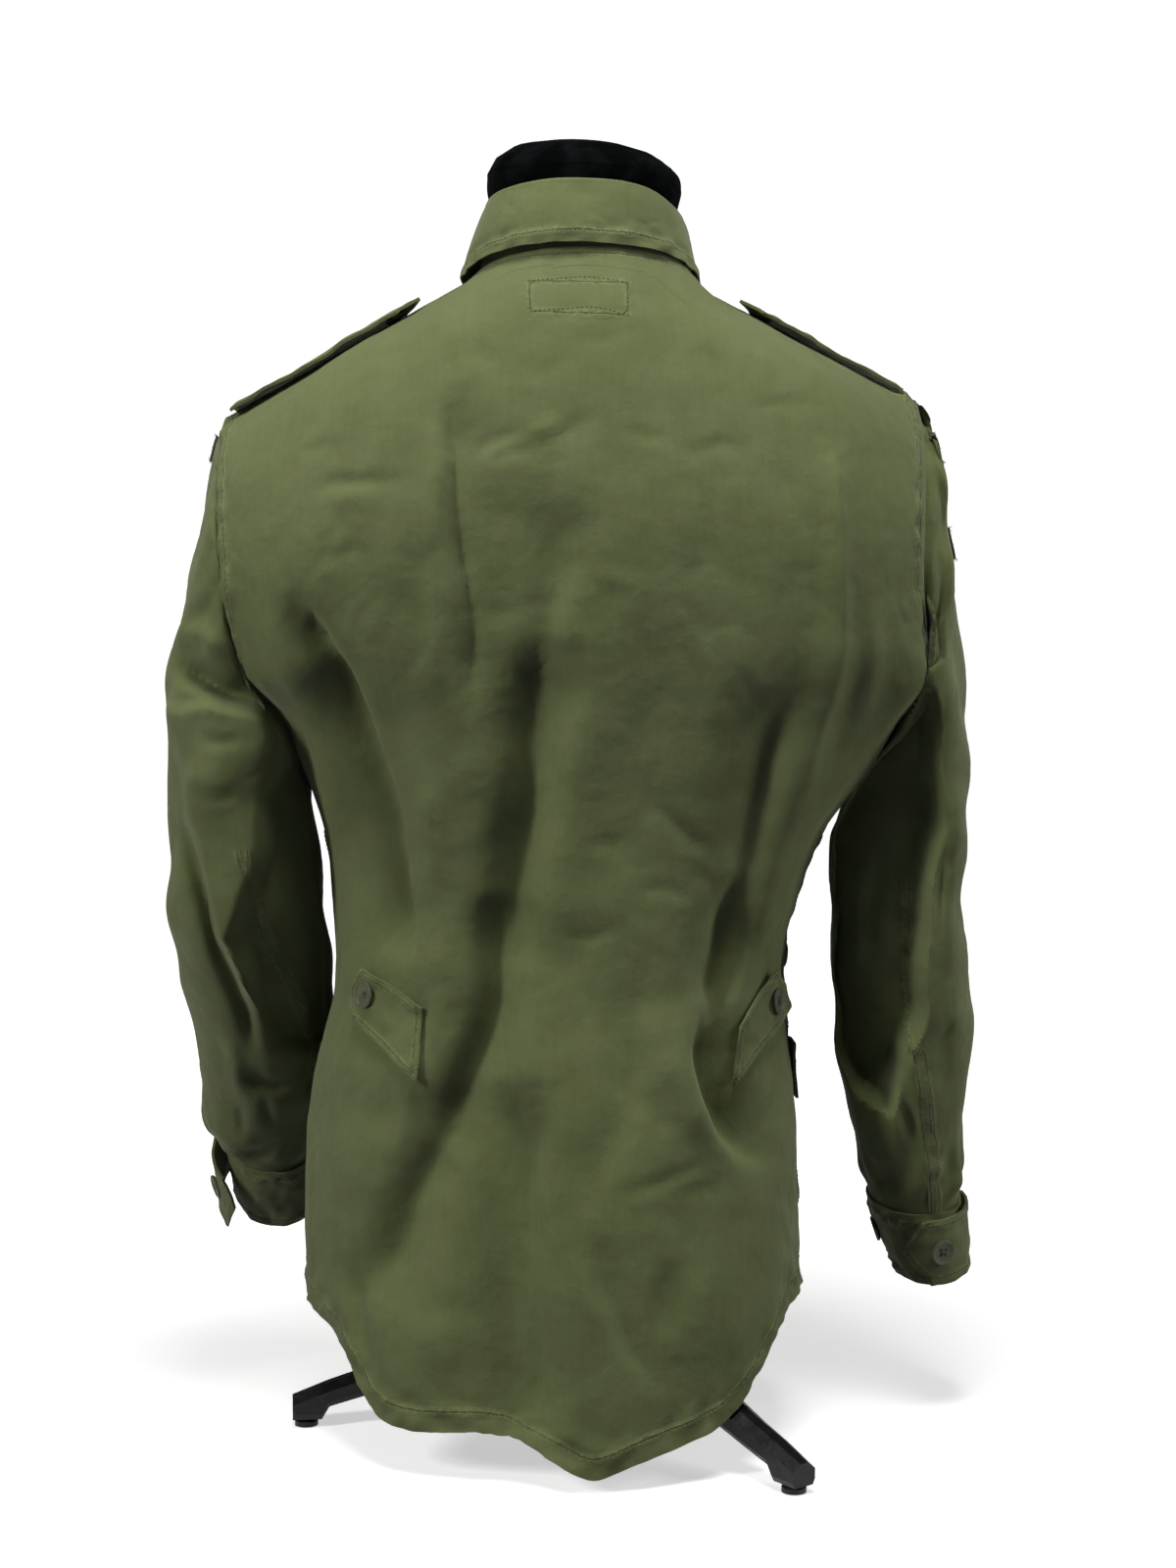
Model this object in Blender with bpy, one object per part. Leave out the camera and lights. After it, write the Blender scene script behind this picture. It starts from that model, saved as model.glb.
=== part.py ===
"""Field jacket on a dress form: cloth walls cut as panels, worn by a limbless form on a tripod.

Metres, +Z up.  The jacket's front faces -Y and its wearer's left is +X.
The origin is on the floor, under the middle of the whole part.
"""
import math
from collections import namedtuple

import bmesh
import bpy
import numpy as np
from mathutils import Vector
from mathutils.bvhtree import BVHTree

# ---------------------------------------------------------------- driving dimensions
WALL = 0.0016          # body, sleeve and collar cloth
BAND = 0.0024          # cuffs, straps and placket, folded double
PATCH = 0.0010         # sleeve patches
SEAM = 0.00045         # each panel stops this far short of a seam
SLEEVE_SEAM = 0.0018   # the same along a sleeve
REST = 0.0007          # left under a piece that lies on a panel

NECK_HALF = 0.078      # half width of the neckline seam
NECK_Y = -0.005        # shoulder seams meet the neckline here
NECK_COLUMNS = 6       # columns of a half panel that are neckline at the top
CENTRE_BACK_NECK = (0.085, 0.838)      # y, z
CENTRE_FRONT_NECK = (-0.085, 0.800)    # y, z
UNDERLAP_X = 0.020     # the fronts meet here, under the placket

# One row for each level of the body, named by the height of the centre back.  rise says how late a
# row climbs to its edge; turn is how far round the body it goes, in degrees.
Centre = namedtuple("Centre", "level back_y front_y front_z box turn rise")
CENTRE = [
    Centre(0.035, 0.182, -0.150, 0.078, 0.95, 90, 6.0),    # hem
    Centre(0.120, 0.170, -0.147, 0.165, 0.95, 90, 3.5),    # skirt
    Centre(0.225, 0.153, -0.140, 0.250, 0.92, 90, 2.0),    # hip
    Centre(0.320, 0.136, -0.128, 0.330, 0.90, 90, 1.4),    # waist
    Centre(0.410, 0.130, -0.125, 0.415, 0.88, 90, 1.4),    # rib
    Centre(0.500, 0.134, -0.128, 0.500, 0.85, 90, 1.4),    # underarm
    Centre(0.575, 0.141, -0.128, 0.565, 0.82, 76, 1.4),    # low armhole
    Centre(0.650, 0.142, -0.122, 0.630, 0.80, 64, 1.4),    # mid armhole
    Centre(0.720, 0.132, -0.112, 0.690, 0.80, 60, 1.4),    # high armhole
    Centre(0.790, 0.110, -0.097, 0.755, 0.85, 58, 1.4),    # yoke
    Centre(0.838, 0.085, -0.085, 0.800, 0.85, 58, 1.4),    # neckline and shoulder seam
]
HEM_TOP = 0.150        # the back hem's own curve fades out this far above it
HEM_CURVE = [          # x, z along the back hem
    (-0.153, 0.102), (-0.1475, 0.100), (-0.137, 0.0945), (-0.130, 0.085), (-0.1245, 0.0745),
    (-0.116, 0.063), (-0.109, 0.053), (-0.100, 0.041), (-0.079, 0.0312), (-0.033, 0.019),
    (-0.002, 0.006), (0.026, 0.022), (0.052, 0.0355), (0.086, 0.0352), (0.120, 0.031), (0.145, 0.0335),
    (0.154, 0.042), (0.1665, 0.061), (0.1725, 0.0735), (0.1815, 0.081), (0.193, 0.088), (0.2025, 0.095),
]

# The same levels at the side seam, then round the armhole, for each side of the body.
Edge = namedtuple("Edge", "x z back_y front_in front_y")
EDGE = {
    "left": [
        Edge(0.2025, 0.095, 0.000, 0.000, 0.000),
        Edge(0.2025, 0.165, 0.000, 0.000, 0.000),
        Edge(0.1945, 0.245, 0.000, 0.000, 0.000),
        Edge(0.1810, 0.328, 0.000, 0.000, 0.000),
        Edge(0.1855, 0.412, 0.000, 0.000, 0.000),
        Edge(0.2150, 0.497, 0.000, 0.000, 0.000),
        Edge(0.2440, 0.548, 0.060, 0.012, -0.050),
        Edge(0.2545, 0.612, 0.078, 0.022, -0.066),
        Edge(0.2590, 0.672, 0.058, 0.018, -0.052),
        Edge(0.2603, 0.710, 0.028, 0.008, -0.028),
        Edge(0.2607, 0.727, 0.000, 0.000, 0.000),
    ],
    "right": [
        Edge(0.1530, 0.095, 0.000, 0.000, 0.000),
        Edge(0.1525, 0.165, 0.000, 0.000, 0.000),
        Edge(0.1480, 0.245, 0.000, 0.000, 0.000),
        Edge(0.1415, 0.328, 0.000, 0.000, 0.000),
        Edge(0.1620, 0.412, 0.000, 0.000, 0.000),
        Edge(0.2150, 0.497, 0.000, 0.000, 0.000),
        Edge(0.2380, 0.548, 0.060, 0.010, -0.050),
        Edge(0.2300, 0.625, 0.078, 0.018, -0.066),
        Edge(0.2330, 0.690, 0.053, 0.016, -0.050),
        Edge(0.2345, 0.722, 0.026, 0.008, -0.028),
        Edge(0.2350, 0.739, 0.000, 0.000, 0.000),
    ],
}
NECK_Z = {"left": 0.8290, "right": 0.8205}      # shoulder seams at the neckline
UNDERARM = 5           # row of CENTRE and EDGE where the armhole starts

# Rings down a sleeve after the armhole: where its outer and inner lines are in front view, how far
# it reaches forward and back of its middle, how far it leans forward and twists, in degrees, and
# how much of its shape is its own and not the armhole's moved out.
Ring = namedtuple("Ring", "outer_x outer_z inner_x inner_z mid_y depth lean twist own out")
SLEEVE = {
    "left": [
        Ring(0.2620, 0.690, 0.2180, 0.4925, 0.006, 0.080, 0, 0, 0.30, 0.005),
        Ring(0.2765, 0.622, 0.2155, 0.4860, 0.006, 0.077, 0, 0, 0.60, 0.011),
        Ring(0.2930, 0.577, 0.2110, 0.4770, 0.005, 0.074, 0, 0, 0.85, 0.016),
        Ring(0.3035, 0.540, 0.2058, 0.4640, 0.004, 0.072, 0, 0, 1.00, 0.000),
        Ring(0.3015, 0.490, 0.1995, 0.4430, 0.003, 0.070, 2, 2, 1.00, 0.000),
        Ring(0.3030, 0.430, 0.1955, 0.4150, 0.002, 0.068, 5, 5, 1.00, 0.000),
        Ring(0.3050, 0.385, 0.1930, 0.3800, 0.000, 0.066, 10, 12, 1.00, 0.000),
        Ring(0.2990, 0.340, 0.1900, 0.3400, -0.020, 0.062, 20, 28, 1.00, 0.000),
        Ring(0.2945, 0.295, 0.1900, 0.2950, -0.048, 0.058, 28, 42, 1.00, 0.000),
        Ring(0.2910, 0.250, 0.1950, 0.2500, -0.077, 0.054, 31, 50, 1.00, 0.000),
        Ring(0.2955, 0.212, 0.2020, 0.2120, -0.101, 0.049, 33, 52, 1.00, 0.000),
        Ring(0.2800, 0.183, 0.2070, 0.1830, -0.121, 0.042, 33, 52, 1.00, 0.000),
    ],
    "right": [
        Ring(0.2540, 0.690, 0.2170, 0.4925, 0.006, 0.080, 0, 0, 0.25, 0.011),
        Ring(0.2597, 0.614, 0.2120, 0.4860, 0.006, 0.077, 0, 0, 0.60, 0.018),
        Ring(0.2670, 0.576, 0.2060, 0.4770, 0.005, 0.074, 0, 0, 0.85, 0.022),
        Ring(0.2712, 0.540, 0.1990, 0.4640, 0.004, 0.072, 0, 0, 1.00, 0.000),
        Ring(0.2735, 0.490, 0.1870, 0.4430, 0.003, 0.070, 0, -2, 1.00, 0.000),
        Ring(0.2762, 0.435, 0.1755, 0.4200, 0.002, 0.068, 1, -4, 1.00, 0.000),
        Ring(0.2757, 0.385, 0.1770, 0.3850, 0.000, 0.065, 3, -6, 1.00, 0.000),
        Ring(0.2755, 0.335, 0.1775, 0.3350, -0.004, 0.062, 6, -8, 1.00, 0.000),
        Ring(0.2786, 0.285, 0.1830, 0.2850, -0.011, 0.058, 8, -10, 1.00, 0.000),
        Ring(0.2800, 0.235, 0.1910, 0.2350, -0.018, 0.055, 8, -14, 1.00, 0.000),
        Ring(0.2790, 0.192, 0.2000, 0.1920, -0.024, 0.051, 8, -18, 1.00, 0.000),
        Ring(0.2757, 0.158, 0.2090, 0.1580, -0.029, 0.046, 8, -20, 1.00, 0.000),
    ],
}
CUFF = {
    "left": [
        Ring(0.2815, 0.1824, 0.2055, 0.1824, -0.1213, 0.0435, 33, 0, 1.0, 0.0),
        Ring(0.2800, 0.1330, 0.2070, 0.1330, -0.1540, 0.0425, 33, 0, 1.0, 0.0),
    ],
    "right": [
        Ring(0.2772, 0.1565, 0.2075, 0.1565, -0.0291, 0.0475, 8, 0, 1.0, 0.0),
        Ring(0.2812, 0.1020, 0.2262, 0.1020, -0.0370, 0.0455, 8, 0, 1.0, 0.0),
    ],
}
TOP_SLEEVE = (-85, 100)      # degrees round the armhole from its top, front to back seam

# Largest folds: troughs (depth < 0) and ridges (depth > 0) over points x, z seen from one face.
# face is +1 on the back and -1 on the front, width is half the fold's breadth.
Fold = namedtuple("Fold", "name face depth width points")
BODY_FOLDS = [
    Fold("main trough", 1, -0.011, 0.016,
         [(0.016, 0.70), (0.029, 0.60), (0.045, 0.52), (0.058, 0.42), (0.078, 0.33), (0.105, 0.24),
          (0.145, 0.14)]),
    Fold("left blade trough", 1, -0.008, 0.014,
         [(0.082, 0.74), (0.088, 0.66), (0.086, 0.56), (0.074, 0.47)]),
    Fold("left side trough", 1, -0.010, 0.017,
         [(0.236, 0.69), (0.208, 0.60), (0.182, 0.52), (0.150, 0.44), (0.124, 0.35)]),
    Fold("left ridge", 1, 0.006, 0.014,
         [(0.110, 0.55), (0.110, 0.42), (0.107, 0.33), (0.104, 0.27)]),
    Fold("tail trough", 1, -0.012, 0.014,
         [(0.048, 0.27), (0.047, 0.19), (0.043, 0.12), (0.040, 0.045)]),
    Fold("centre ridge", 1, 0.005, 0.020,
         [(-0.012, 0.68), (-0.008, 0.50), (0.004, 0.36), (0.010, 0.20), (0.002, 0.02)]),
    Fold("right trough", 1, -0.010, 0.017,
         [(-0.138, 0.60), (-0.124, 0.52), (-0.103, 0.44), (-0.082, 0.36), (-0.077, 0.29),
          (-0.096, 0.235), (-0.130, 0.20)]),
    Fold("right ridge", 1, 0.006, 0.015,
         [(-0.160, 0.70), (-0.158, 0.62), (-0.140, 0.52), (-0.118, 0.42)]),
    Fold("right tail trough", 1, -0.007, 0.012,
         [(-0.040, 0.32), (-0.020, 0.25), (-0.006, 0.19), (-0.010, 0.14), (-0.040, 0.09)]),
    Fold("left front drape", -1, -0.007, 0.018,
         [(0.105, 0.66), (0.110, 0.50), (0.120, 0.40)]),
    Fold("right front drape", -1, -0.006, 0.017,
         [(-0.090, 0.68), (-0.100, 0.52), (-0.105, 0.40)]),
]
SLEEVE_FOLDS = {
    "left": [
        Fold("armpit crease", 1, -0.011, 0.012, [(0.300, 0.530), (0.262, 0.517), (0.226, 0.512)]),
        Fold("elbow crease", 1, -0.010, 0.013,
             [(0.292, 0.455), (0.280, 0.40), (0.266, 0.345), (0.232, 0.315)]),
        Fold("elbow ridge", 1, 0.006, 0.012, [(0.270, 0.47), (0.252, 0.40), (0.262, 0.35)]),
        Fold("fore crease", -1, -0.008, 0.012, [(0.280, 0.37), (0.240, 0.355), (0.200, 0.36)]),
    ],
    "right": [
        Fold("hanging ridge", 1, 0.005, 0.012,
             [(-0.262, 0.50), (-0.248, 0.36), (-0.244, 0.24)]),
        Fold("fore crease", -1, -0.007, 0.012, [(-0.262, 0.37), (-0.230, 0.355), (-0.195, 0.36)]),
    ],
}
FOLD_END = 0.035       # length over which a fold dies away
TOP_INSET = 0.0011     # a panel stops this far short of the neckline and shoulder seams
ARMHOLE_GAP = 0.0008   # sleeves start this far outside the armhole
EDGE_CALM = 0.10       # share of a panel's breadth that stays flat beside its edge

# Grid counts: rows along a panel, columns across it.
SKIRT_ROWS = 13        # hem to underarm
ARM_ROWS = 10          # underarm to shoulder
BACK_COLUMNS = 26
FRONT_COLUMNS = 12
FRONT_NECK_COLUMNS = {"left": NECK_COLUMNS - 1, "right": NECK_COLUMNS + 1}
SLEEVE_ROWS = 18
ROW_BUNCH = 1.3        # how much closer the rows lie by the shoulder

# Collar: rings round the neck at the fold and the fall's lower edge.
# tilt raises the wearer's left; dip says how late the front part drops.
Neck = namedtuple("Neck", "mid half back_y front_y back_z side_z front_z tilt dip")
COLLAR_TOP = Neck(0.0030, 0.0680, 0.0790, -0.0740, 0.8850, 0.8710, 0.8380, 0.048, 1.0)
COLLAR_EDGE = Neck(0.0045, 0.0860, 0.1040, -0.1030, 0.8400, 0.8255, 0.7900, 0.015, 1.8)
COLLAR_END = 174       # degrees from the centre back to a collar end
COLLAR_STEP = 15       # degrees from one of the stand's columns to the next
COLLAR_RISE = 0.0004   # the stand starts this far above the neckline
COLLAR_ROLL = 0.0030   # half the thickness of the rolled fold
COLLAR_SWELL = 0.002   # the fall bows out this much
STAND_ROWS = 4
FOLD_ANGLES = (180, 120, 60, 0)        # round the fold, from the stand's side to the fall's
FALL_STEPS = (0.33, 0.67, 1.0)         # rows of the fall below its fold

BUTTON_HALF = 0.0095   # 19 mm four-hole buttons
BUTTON_HIGH = 0.0030
BUTTON_LIFT = 0.0008
BUTTON_SIDES = 12
BUTTON_PROFILE = [         # shares of the half breadth and of the height, from the back to the face
    (0.82, 0.0), (1.0, 0.45), (0.90, 1.0), (0.70, 0.72),
]
BUTTON_WELL = 0.66         # height of the middle of the face

# Epaulettes: ends as shares of the way from the armhole to the neckline, and how far back they lie.
Strap = namedtuple("Strap", "start end outer_y inner_y")
EPAULETTE = {"left": Strap(0.03, 0.775, -0.006, 0.002), "right": Strap(0.06, 0.81, -0.016, 0.002)}
STRAP_HALF = 0.023
STRAP_LIFT = 0.0012    # above the shoulder seam at the armhole
STRAP_RAISE = 0.0015   # further at the pointed end
STRAP_DROOP = 0.0025   # its long edges hang this much
STRAP_POINT = 0.018
STRAP_BUTTON = 0.86    # share of the strap's length where its button sits
STRAP_ROWS = 10
STRAP_COLUMNS = 7

# Waist tabs as x, z in front view: the sewn end's low and high corners, the free end's low corner,
# tip and high corner, the button, the second button on the front, and how far the tab lies off.
Tab = namedtuple("Tab", "sewn_low sewn_high low tip high button second lift")
WAIST_TAB = {
    "left": Tab((0.1165, 0.2676), (0.1112, 0.3164), (0.1613, 0.3034), (0.1625, 0.3220),
                (0.1535, 0.3401), (0.1515, 0.3215), (0.1770, 0.3480), 0.0017),
    "right": Tab((-0.0990, 0.2595), (-0.1035, 0.3010), (-0.1385, 0.3050), (-0.1350, 0.3230),
                 (-0.1270, 0.3370), (-0.1290, 0.3145), (-0.1415, 0.3370), 0.0014),
}
TAB_ROWS = 11
TAB_COLUMNS = 5

PLACKET_X = np.array([-0.020, -0.008, 0.005, 0.0175, 0.030])
PLACKET_LIFT = 0.0007
PLACKET_TOP = 0.003    # the placket stops this far below the neckline
PLACKET_BUTTONS = 6
PLACKET_FIRST = 0.16   # shares of the front's height
PLACKET_LAST = 0.95

# Skirt pockets: columns of the front panel, inner and outer, that each one spans.
POCKET_COLUMNS = {"left": (1, 9), "right": (3, 10)}
POCKET_TOP_Z = 0.262
POCKET_HIGH = 0.140
FLAP_HIGH = 0.058
FLAP_POINT = 0.016
FLAP_ABOVE = 0.010
FLAP_FLARE = 0.004     # a flap's lower outer corner stands off this much
POCKET_ROWS = 6
FLAP_ROWS = 4

# Cuff tabs: degrees round the cuff from its outer line, 90 at its back.
# off is how far the tab's tip stands off the cuff.
CuffTab = namedtuple("CuffTab", "start tip button spare off")
CUFF_TAB = {
    "left": CuffTab(-60, 60, 30, -120, 0.012),
    "right": CuffTab(-15, 120, 75, 180, 0.001),
}
CUFF_COLUMNS = 24
CUFF_ROWS = 4
TAB_CURL = 0.8                         # how late a cuff tab leaves the cuff
TAB_EDGES = np.linspace(0.06, 0.94, 5)  # shares of the cuff's height that a tab's lines follow
TAB_POINT = 0.75                       # how far a tab's corners are cut back behind its tip

# Sleeve patches: middle in front view, height, and how many columns of the top sleeve they span.
Patch = namedtuple("Patch", "side x z high columns")
PATCHES = {
    "patch_left": Patch("left", 0.2680, 0.704, 0.018, 4),
    "patch_right_upper": Patch("right", 0.2515, 0.704, 0.020, 3),
    "patch_right_lower": Patch("right", 0.2620, 0.636, 0.022, 4),
}
PATCH_LIFT = 0.0009
PATCH_ROWS = 4

# Dress form: rings from its base to the top of its neck.
FormRing = namedtuple("FormRing", "z left right front back point")
FORM = [
    FormRing(0.200, 0.118, 0.104, -0.090, 0.100, 1.00),
    FormRing(0.206, 0.126, 0.110, -0.098, 0.108, 1.00),
    FormRing(0.250, 0.135, 0.118, -0.106, 0.118, 0.95),
    FormRing(0.310, 0.122, 0.112, -0.096, 0.100, 0.95),
    FormRing(0.370, 0.112, 0.108, -0.088, 0.086, 0.95),
    FormRing(0.440, 0.128, 0.124, -0.092, 0.092, 0.92),
    FormRing(0.510, 0.150, 0.146, -0.098, 0.104, 0.90),
    FormRing(0.580, 0.172, 0.166, -0.098, 0.112, 0.88),
    FormRing(0.640, 0.188, 0.178, -0.092, 0.112, 0.88),
    FormRing(0.690, 0.196, 0.186, -0.084, 0.106, 0.92),
    FormRing(0.720, 0.199, 0.190, -0.078, 0.098, 1.00),
    FormRing(0.745, 0.200, 0.192, -0.070, 0.086, 1.15),
]
SHOULDER_GAP = 0.0018      # left between the form's shoulders and the cloth
RIDGE_DROP = 0.0040        # the form's shoulder ridge lies this far below the shoulder seams
FORM_SHOULDER_STEPS = 5
FORM_NECK_Z = 0.808        # the shoulders end here and the neck begins
FORM_NECK_FRONT = -0.058   # y
FORM_NECK_BACK = 0.066
FORM_NECK_ROUND = 0.15     # how much rounder the outline is there
FORM_COLUMNS = 24
NECK_RINGS = [            # z, radius, rise towards the wearer's left: the neck and its domed cap
    (0.8210, 0.0620, 0.048), (0.8450, 0.0628, 0.020), (0.8700, 0.0632, 0.010), (0.8800, 0.0643, 0.010),
    (0.8880, 0.0690, 0.020), (0.8965, 0.0690, 0.040), (0.9045, 0.0640, 0.060), (0.9135, 0.0510, 0.065),
    (0.9180, 0.0340, 0.050), (0.9200, 0.0130, 0.030),
]
NECK_MID = (0.003, 0.004)              # x, y of the neck's axis

# Stand
STAND_MID = (-0.008, 0.008)            # x, y of the post
POST_RADIUS = 0.0125
HUB = [(0.024, 0.058), (0.030, 0.062), (0.030, 0.088), (0.018, 0.096)]      # radius, z
LEG_ANGLES = {"left": 6.5, "right": 127.5, "front": 247.0}
LegRow = namedtuple("LegRow", "reach top bottom half")
LEG = [
    LegRow(0.0303, 0.0920, 0.0620, 0.0150),
    LegRow(0.1050, 0.0640, 0.0420, 0.0130),
    LegRow(0.1720, 0.0395, 0.0220, 0.0112),
    LegRow(0.1970, 0.0315, 0.0150, 0.0108),
    LegRow(0.2025, 0.0295, 0.0058, 0.0106),
    LegRow(0.2235, 0.0215, 0.0055, 0.0100),
]
PAD_REACH = 0.2135
PAD = [(0.0085, 0.0), (0.0085, 0.0035), (0.0068, 0.0050)]      # radius, z
# A leg's cross-section: shares of its half breadth, from its bottom or top, and how far in from it.
LEG_OUTLINE = [
    (-0.80, "bottom", 0.000), (0.80, "bottom", 0.000), (1.00, "bottom", 0.004), (1.00, "top", -0.005),
    (0.35, "top", 0.000), (-0.35, "top", 0.000), (-1.00, "top", -0.005), (-1.00, "bottom", 0.004),
]
ROUND_COUNT = 24                       # sides of the hub, post and pads

MATERIALS = {
    "cloth": ((0.165, 0.195, 0.105), 0.85, 0.0),
    "button": ((0.110, 0.130, 0.080), 0.45, 0.0),
    "velvet": ((0.010, 0.010, 0.010), 0.95, 0.0),
    "iron": ((0.015, 0.015, 0.016), 0.40, 0.2),
    "patch": ((0.060, 0.060, 0.058), 0.90, 0.0),
}


# ---------------------------------------------------------------- small tools
def material(name):
    """The named Principled material, made once."""
    found = bpy.data.materials.get(name)
    if found:
        return found
    colour, roughness, metallic = MATERIALS[name]
    made = bpy.data.materials.new(name)
    made.use_nodes = True
    shader = made.node_tree.nodes["Principled BSDF"]
    shader.inputs["Base Color"].default_value = (*colour, 1.0)
    shader.inputs["Roughness"].default_value = roughness
    shader.inputs["Metallic"].default_value = metallic
    made.diffuse_color = (*colour, 1.0)
    return made


def ease(value):
    """0 to 1 with flat ends."""
    value = np.clip(value, 0.0, 1.0)
    return value * value * (3.0 - 2.0 * value)


def through(knots, rows, at):
    """A smooth curve through rows at rising knots, read at the values in at, with no overshoot."""
    knots = np.asarray(knots, float)
    rows = np.asarray(rows, float)
    at = np.atleast_1d(at)
    gaps = np.diff(knots).reshape((-1,) + (1,) * (rows.ndim - 1))
    rise = np.diff(rows, axis=0) / gaps
    product = rise[:-1] * rise[1:]
    total = rise[:-1] + rise[1:]
    steady = np.where(product > 0, 2 * product / np.where(total == 0, 1.0, total), 0.0)
    slope = np.concatenate([rise[:1], steady, rise[-1:]])
    index = np.clip(np.searchsorted(knots, at, side="right") - 1, 0, len(knots) - 2)
    shape = (-1,) + (1,) * (rows.ndim - 1)
    span = (knots[index + 1] - knots[index]).reshape(shape)
    u = ((at - knots[index]) / (knots[index + 1] - knots[index])).reshape(shape)
    return ((2 * u ** 3 - 3 * u ** 2 + 1) * rows[index] + (u ** 3 - 2 * u ** 2 + u) * span * slope[index]
            + (3 * u ** 2 - 2 * u ** 3) * rows[index + 1] + (u ** 3 - u ** 2) * span * slope[index + 1])


def lengths(points):
    """Distance along a line of points, from 0 to 1."""
    run = np.concatenate([[0.0], np.cumsum(np.linalg.norm(np.diff(points, axis=0), axis=1))])
    return run / run[-1]


def smooth_line(points, steps):
    """A smooth line through a few points, as steps + 1 points."""
    points = np.asarray(points, float)
    return through(lengths(points), points, np.linspace(0, 1, steps + 1))


def grid_normals(grid, closed=False):
    """Unit normals of a grid of points, rows by columns; closed grids wrap round their columns."""
    padded = np.concatenate([grid[:, -1:], grid, grid[:, :1]], axis=1) if closed else grid
    along = np.gradient(padded, axis=0)
    across = np.gradient(padded, axis=1)
    normal = np.cross(across, along)
    normal = normal[:, 1:-1] if closed else normal
    return normal / np.maximum(np.linalg.norm(normal, axis=2, keepdims=True), 1e-12)


def make_object(name, verts, faces, slot, smooth=True):
    """One mesh object with its material, its faces turned outwards."""
    mesh = bpy.data.meshes.new(name)
    mesh.from_pydata([tuple(v) for v in verts], [], faces)
    work = bmesh.new()
    work.from_mesh(mesh)
    bmesh.ops.recalc_face_normals(work, faces=work.faces[:])
    work.to_mesh(mesh)
    work.free()
    if smooth:
        mesh.shade_smooth()
        mesh.set_sharp_from_angle(angle=math.radians(40))
    mesh.materials.append(material(slot))
    made = bpy.data.objects.new(name, mesh)
    bpy.context.scene.collection.objects.link(made)
    return made


def wall(name, outer, thickness, slot, closed=False, normals=None):
    """A closed wall: the outer grid, the same grid moved inwards, and rims along its free edges."""
    normals = grid_normals(outer, closed) if normals is None else normals
    inner = outer - normals * thickness
    rows, columns = outer.shape[:2]
    size = rows * columns

    def at(layer, r, c):
        return layer * size + r * columns + c % columns

    faces = []
    spans = columns if closed else columns - 1
    for r in range(rows - 1):
        for c in range(spans):
            faces.append((at(0, r, c), at(0, r, c + 1), at(0, r + 1, c + 1), at(0, r + 1, c)))
            faces.append((at(1, r, c), at(1, r + 1, c), at(1, r + 1, c + 1), at(1, r, c + 1)))
    for r in (0, rows - 1):
        for c in range(spans):
            faces.append((at(0, r, c), at(1, r, c), at(1, r, c + 1), at(0, r, c + 1)))
    if not closed:
        for c in (0, columns - 1):
            for r in range(rows - 1):
                faces.append((at(0, r, c), at(0, r + 1, c), at(1, r + 1, c), at(1, r, c)))
    verts = np.concatenate([outer.reshape(-1, 3), inner.reshape(-1, 3)])
    return make_object(name, verts, faces, slot)


def lofted(name, rings, slot, smooth=True):
    """A solid through closed rings of equal count, with flat ends."""
    count = len(rings[0])
    verts = np.concatenate(rings)
    faces = [tuple(range(count))[::-1], tuple(range((len(rings) - 1) * count, len(rings) * count))]
    for r in range(len(rings) - 1):
        for c in range(count):
            d = (c + 1) % count
            faces.append((r * count + c, r * count + d, (r + 1) * count + d, (r + 1) * count + c))
    return make_object(name, verts, faces, slot, smooth)


class Surface:
    """A panel's outer grid, read between its points, with its normals."""

    def __init__(self, grid):
        self.grid = grid
        self.normals = grid_normals(grid)

    def read(self, table, u, v):
        rows, columns = self.grid.shape[:2]
        r = np.clip(u, 0, 1) * (rows - 1)
        c = np.clip(v, 0, 1) * (columns - 1)
        r0 = np.minimum(r.astype(int), rows - 2)
        c0 = np.minimum(c.astype(int), columns - 2)
        fr = (r - r0)[..., None]
        fc = (c - c0)[..., None]
        return ((1 - fr) * ((1 - fc) * table[r0, c0] + fc * table[r0, c0 + 1])
                + fr * ((1 - fc) * table[r0 + 1, c0] + fc * table[r0 + 1, c0 + 1]))

    def point(self, u, v):
        u, v = np.broadcast_arrays(np.asarray(u, float), np.asarray(v, float))
        return self.read(self.grid, u, v)

    def normal(self, u, v):
        u, v = np.broadcast_arrays(np.asarray(u, float), np.asarray(v, float))
        found = self.read(self.normals, u, v)
        return found / np.linalg.norm(found, axis=-1, keepdims=True)

    def seek(self, x, z):
        """The u, v of the surface point nearest to x, z in front view."""
        near = np.hypot(self.grid[..., 0] - x, self.grid[..., 2] - z)
        r, c = np.unravel_index(np.argmin(near), near.shape)
        u = r / (self.grid.shape[0] - 1)
        v = c / (self.grid.shape[1] - 1)
        step = 0.002
        for _ in range(12):
            here = self.point(u, v)
            du = (self.point(u + step, v) - here)[[0, 2]] / step
            dv = (self.point(u, v + step) - here)[[0, 2]] / step
            move = np.linalg.lstsq(np.stack([du, dv], 1), np.array([x, z]) - here[[0, 2]], rcond=None)[0]
            u = float(np.clip(u + 0.7 * move[0], 0.001, 0.995))
            v = float(np.clip(v + 0.7 * move[1], 0.001, 0.995))
        return u, v

    def local(self, u, v, along, across):
        """u, v moved by real lengths: along runs up the panel, across runs over its columns."""
        step = 0.004
        here = self.point(u, v)
        scale_u = np.linalg.norm(self.point(u + step, v) - here) / step
        scale_v = np.linalg.norm(self.point(u, v + step) - here) / step
        return u + np.asarray(along) / scale_u, v + np.asarray(across) / scale_v


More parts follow.
